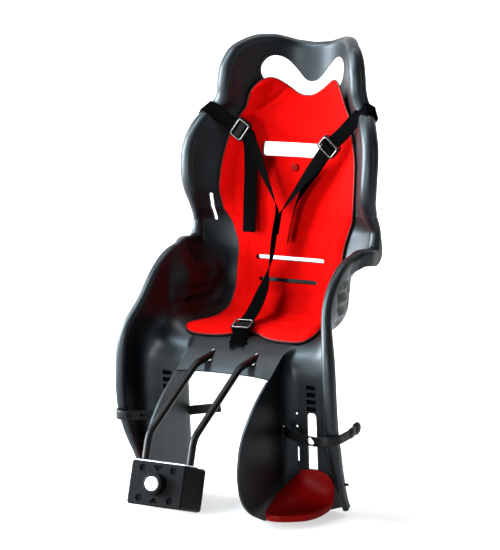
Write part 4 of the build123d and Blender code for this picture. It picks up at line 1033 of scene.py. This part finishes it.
for nm, c_, rn, ac, off in (("left", (-90.5, 190.5, 618.6), (25, 4, -18), (0.6, 0, 1), -5.2), ("right", (78.5, 193.5, 596.1), (-27, 5, -31), (-0.7, 0, 0.8), 5.2),
                            ("crotch", (-14.1, 55, 300.6), (0.05, -0.9, -0.42), (1, 0, 0), -5.0)):
    rn, ac = unit(rn), unit(ac)
    ac = unit(ac - rn * np.dot(ac, rn))
    nz = np.cross(ac, rn)
    yy = np.cross(nz, ac)
    ring_ = [np.array(c_) + a * ac + b * yy + off * nz for a, b in round_rect(31.5, 21.5, 3.5, 4)]
    wire = tube("slider_wire_" + nm, ring_, 0.8, M["wire"], True, 8)
    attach(wire, "seat")

# loose forked end of the crotch strap below its slider
td = unit((12, -45, -26))
tx = unit(np.array([1, 0.2, 0]) - td * np.dot((1, 0.2, 0), td))
tail = prism("crotch_strap_end", [(-12.5, 0), (12.5, 0), (12.5, 36), (11.0, 51), (6.5, 43), (2.5, 39), (-1, 42), (-5, 47), (-10.5, 54), (-12.5, 38)],
             np.array([-13.0, 48, 297.4]), tx, td, -1.4)
tail.data.materials.append(M["web"])
tail.data.uv_layers.new(name="UVMap")
sharpen(tail)
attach(tail, "seat")


def ball(name, c, r, material, n=14, m=20):
    """Rounded lump with three half sizes."""
    vs = [(c[0] + r[0] * math.sin(a) * math.cos(b), c[1] + r[1] * math.sin(a) * math.sin(b), c[2] + r[2] * math.cos(a))
          for a in np.linspace(0.02, math.pi - 0.02, n) for b in np.linspace(0, 2 * math.pi, m, endpoint=False)]
    fs = grid_faces(n, m, closed=True) + [tuple(range(m))[::-1], tuple(range((n - 1) * m, n * m))]
    ob = new_mesh(name, vs, fs, material)
    fix_normals(ob)
    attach(ob, "seat")
    return ob


ball("foot_strap_right_bead", (209.0, 14, 147), (4.6, 13, 9.4), M["rubber"])
ball("foot_strap_right_tip", (205.0, 42, 148.5), (5.4, 15, 11.0), M["rubber"])
ball("foot_strap_left_peg", (-179, -46.5, 148), (2.6, 3.6, 2.6), M["slider"])
for sd, nm in ((1, "right"), (-1, "left")):
    ball("guard_peg_" + nm, (sd * 196.5, 22, 56.5), (5.5, 2.6, 2.6), M["shell"])

bn, bu = np.array([0, -math.cos(math.radians(17)), math.sin(math.radians(17))]), np.array([0, math.sin(math.radians(17)), math.cos(math.radians(17))])
b_o = np.array([0, -253.0, 94.0]) + 15.5 * bn
# light grey strip along the top of the bracket: a painted highlight of its bright top edge
liner = prism("bracket_liner_top", round_rect(95.5, 43.5, 4, 4), b_o + 35.2 * bu - 23.0 * bn, (1, 0, 0), -bn, 1.5)
liner.data.materials.append(M["liner"])
sharpen(liner)
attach(liner, "seat")

# the button's spring gets a mesh of its own
spring = nodes["button_spring"]
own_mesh(spring)

# near-black discs in the bolt recesses and triangles on the pocket floors of the bracket: painted shade
for i, (x_, u_) in enumerate(((-28, 24), (28, 24), (-28, -24), (28, -24))):
    shade_sheet = prism("bolt_recess_shade_%d" % (i + 1), slot_outline(11.2, 11.21, 10), b_o + [x_, 0, 0] + u_ * bu - 2.6 * bn, (1, 0, 0), bu, 0.8)
    shade_sheet.data.materials.append(M["deep"])
    sharpen(shade_sheet)
    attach(shade_sheet, "seat")
for nm, sg in (("upper", 1), ("lower", -1)):
    shade_sheet = prism("pocket_shade_floor_" + nm, [(-8.2, sg * 29.0), (8.2, sg * 29.0), (0, sg * 21.2)][::sg], b_o - 3.0 * bn, (1, 0, 0), bu, 0.8)
    shade_sheet.data.materials.append(M["deep"])
    sharpen(shade_sheet)
    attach(shade_sheet, "seat")

# ----------------------------------------------------------------------------
# stage, light, camera
# ----------------------------------------------------------------------------
sweep = [(-6.0, 0.0), (1.6, 0.0)] + [(1.6 + 1.4 * math.sin(a), 1.4 - 1.4 * math.cos(a)) for a in np.linspace(0, math.pi / 2, 17)[1:]] + [(3.0, 6.0)]
ca, sa = math.cos(math.radians(28)), math.sin(math.radians(28))
fv, ff = [], []
for d_, z_ in sweep:
    for side_ in (-6.0, 6.0):
        fv.append((side_ * ca - d_ * sa, side_ * sa + d_ * ca, z_ - 0.0005))
for i in range(len(sweep) - 1):
    ff.append((2 * i, 2 * i + 1, 2 * i + 3, 2 * i + 2))
floor = new_mesh("floor", fv, ff, M["floor"], metres=True)

scene = bpy.context.scene
w = bpy.data.worlds.new("studio")
scene.world = w
w.use_nodes = True
w.node_tree.nodes["Background"].inputs["Color"].default_value = (1, 1, 1, 1)
w.node_tree.nodes["Background"].inputs["Strength"].default_value = 0.05


def area(name, loc, target, size, power, color=(1, 1, 1)):
    d = bpy.data.lights.new(name, "AREA")
    d.shape = "RECTANGLE"
    d.size, d.size_y = size
    d.energy = power
    d.color = color
    o = bpy.data.objects.new(name, d)
    scene.collection.objects.link(o)
    o.location = loc
    o.rotation_euler = (Vector(target) - Vector(loc)).to_track_quat("-Z", "Y").to_euler()
    return o


area("front", (-0.5, -3.6, 0.6), (0, 0, 0.5), (0.5, 0.5), 110)
area("left", (-2.8, -1.15, 1.0), (0, 0, 0.45), (2.2, 1.6), 760, (0.88, 0.96, 1.0))
area("upper_left", (-1.25, -1.1, 2.4), (0, 0, 0.3), (0.8, 0.8), 140, (0.78, 0.93, 1.0))
area("right", (2.7, -0.3, 1.3), (0, 0, 0.5), (0.4, 1.6), 16, (0.93, 0.97, 1.0))
area("backdrop", (-0.35, 0.65, 3.2), (-1.3, 2.6, 0.9), (3.0, 1.0), 150)

A, E, F, D = math.radians(28), math.radians(10), 2400.0, 4.0
cam_d = bpy.data.cameras.new("camera")
cam = bpy.data.objects.new("camera", cam_d)
scene.collection.objects.link(cam)
back = Vector((math.sin(A) * math.cos(E), -math.cos(A) * math.cos(E), math.sin(E)))
right = Vector((math.cos(A), math.sin(A), 0))
up = back.cross(right)
cam.matrix_world = Matrix((
    (right.x, up.x, back.x, back.x * D),
    (right.y, up.y, back.y, back.y * D - YS * MM),
    (right.z, up.z, back.z, back.z * D + 0.345),
    (0, 0, 0, 1)))
cam_d.sensor_fit = "AUTO"
cam_d.sensor_width = 36.0
cam_d.lens = F * 36.0 / 550.0
cam_d.shift_x = 14.8955 / 550.0
cam_d.shift_y = 30.6072 / 550.0
cam_d.clip_end = 50
scene.camera = cam
scene.view_settings.view_transform = "Standard"
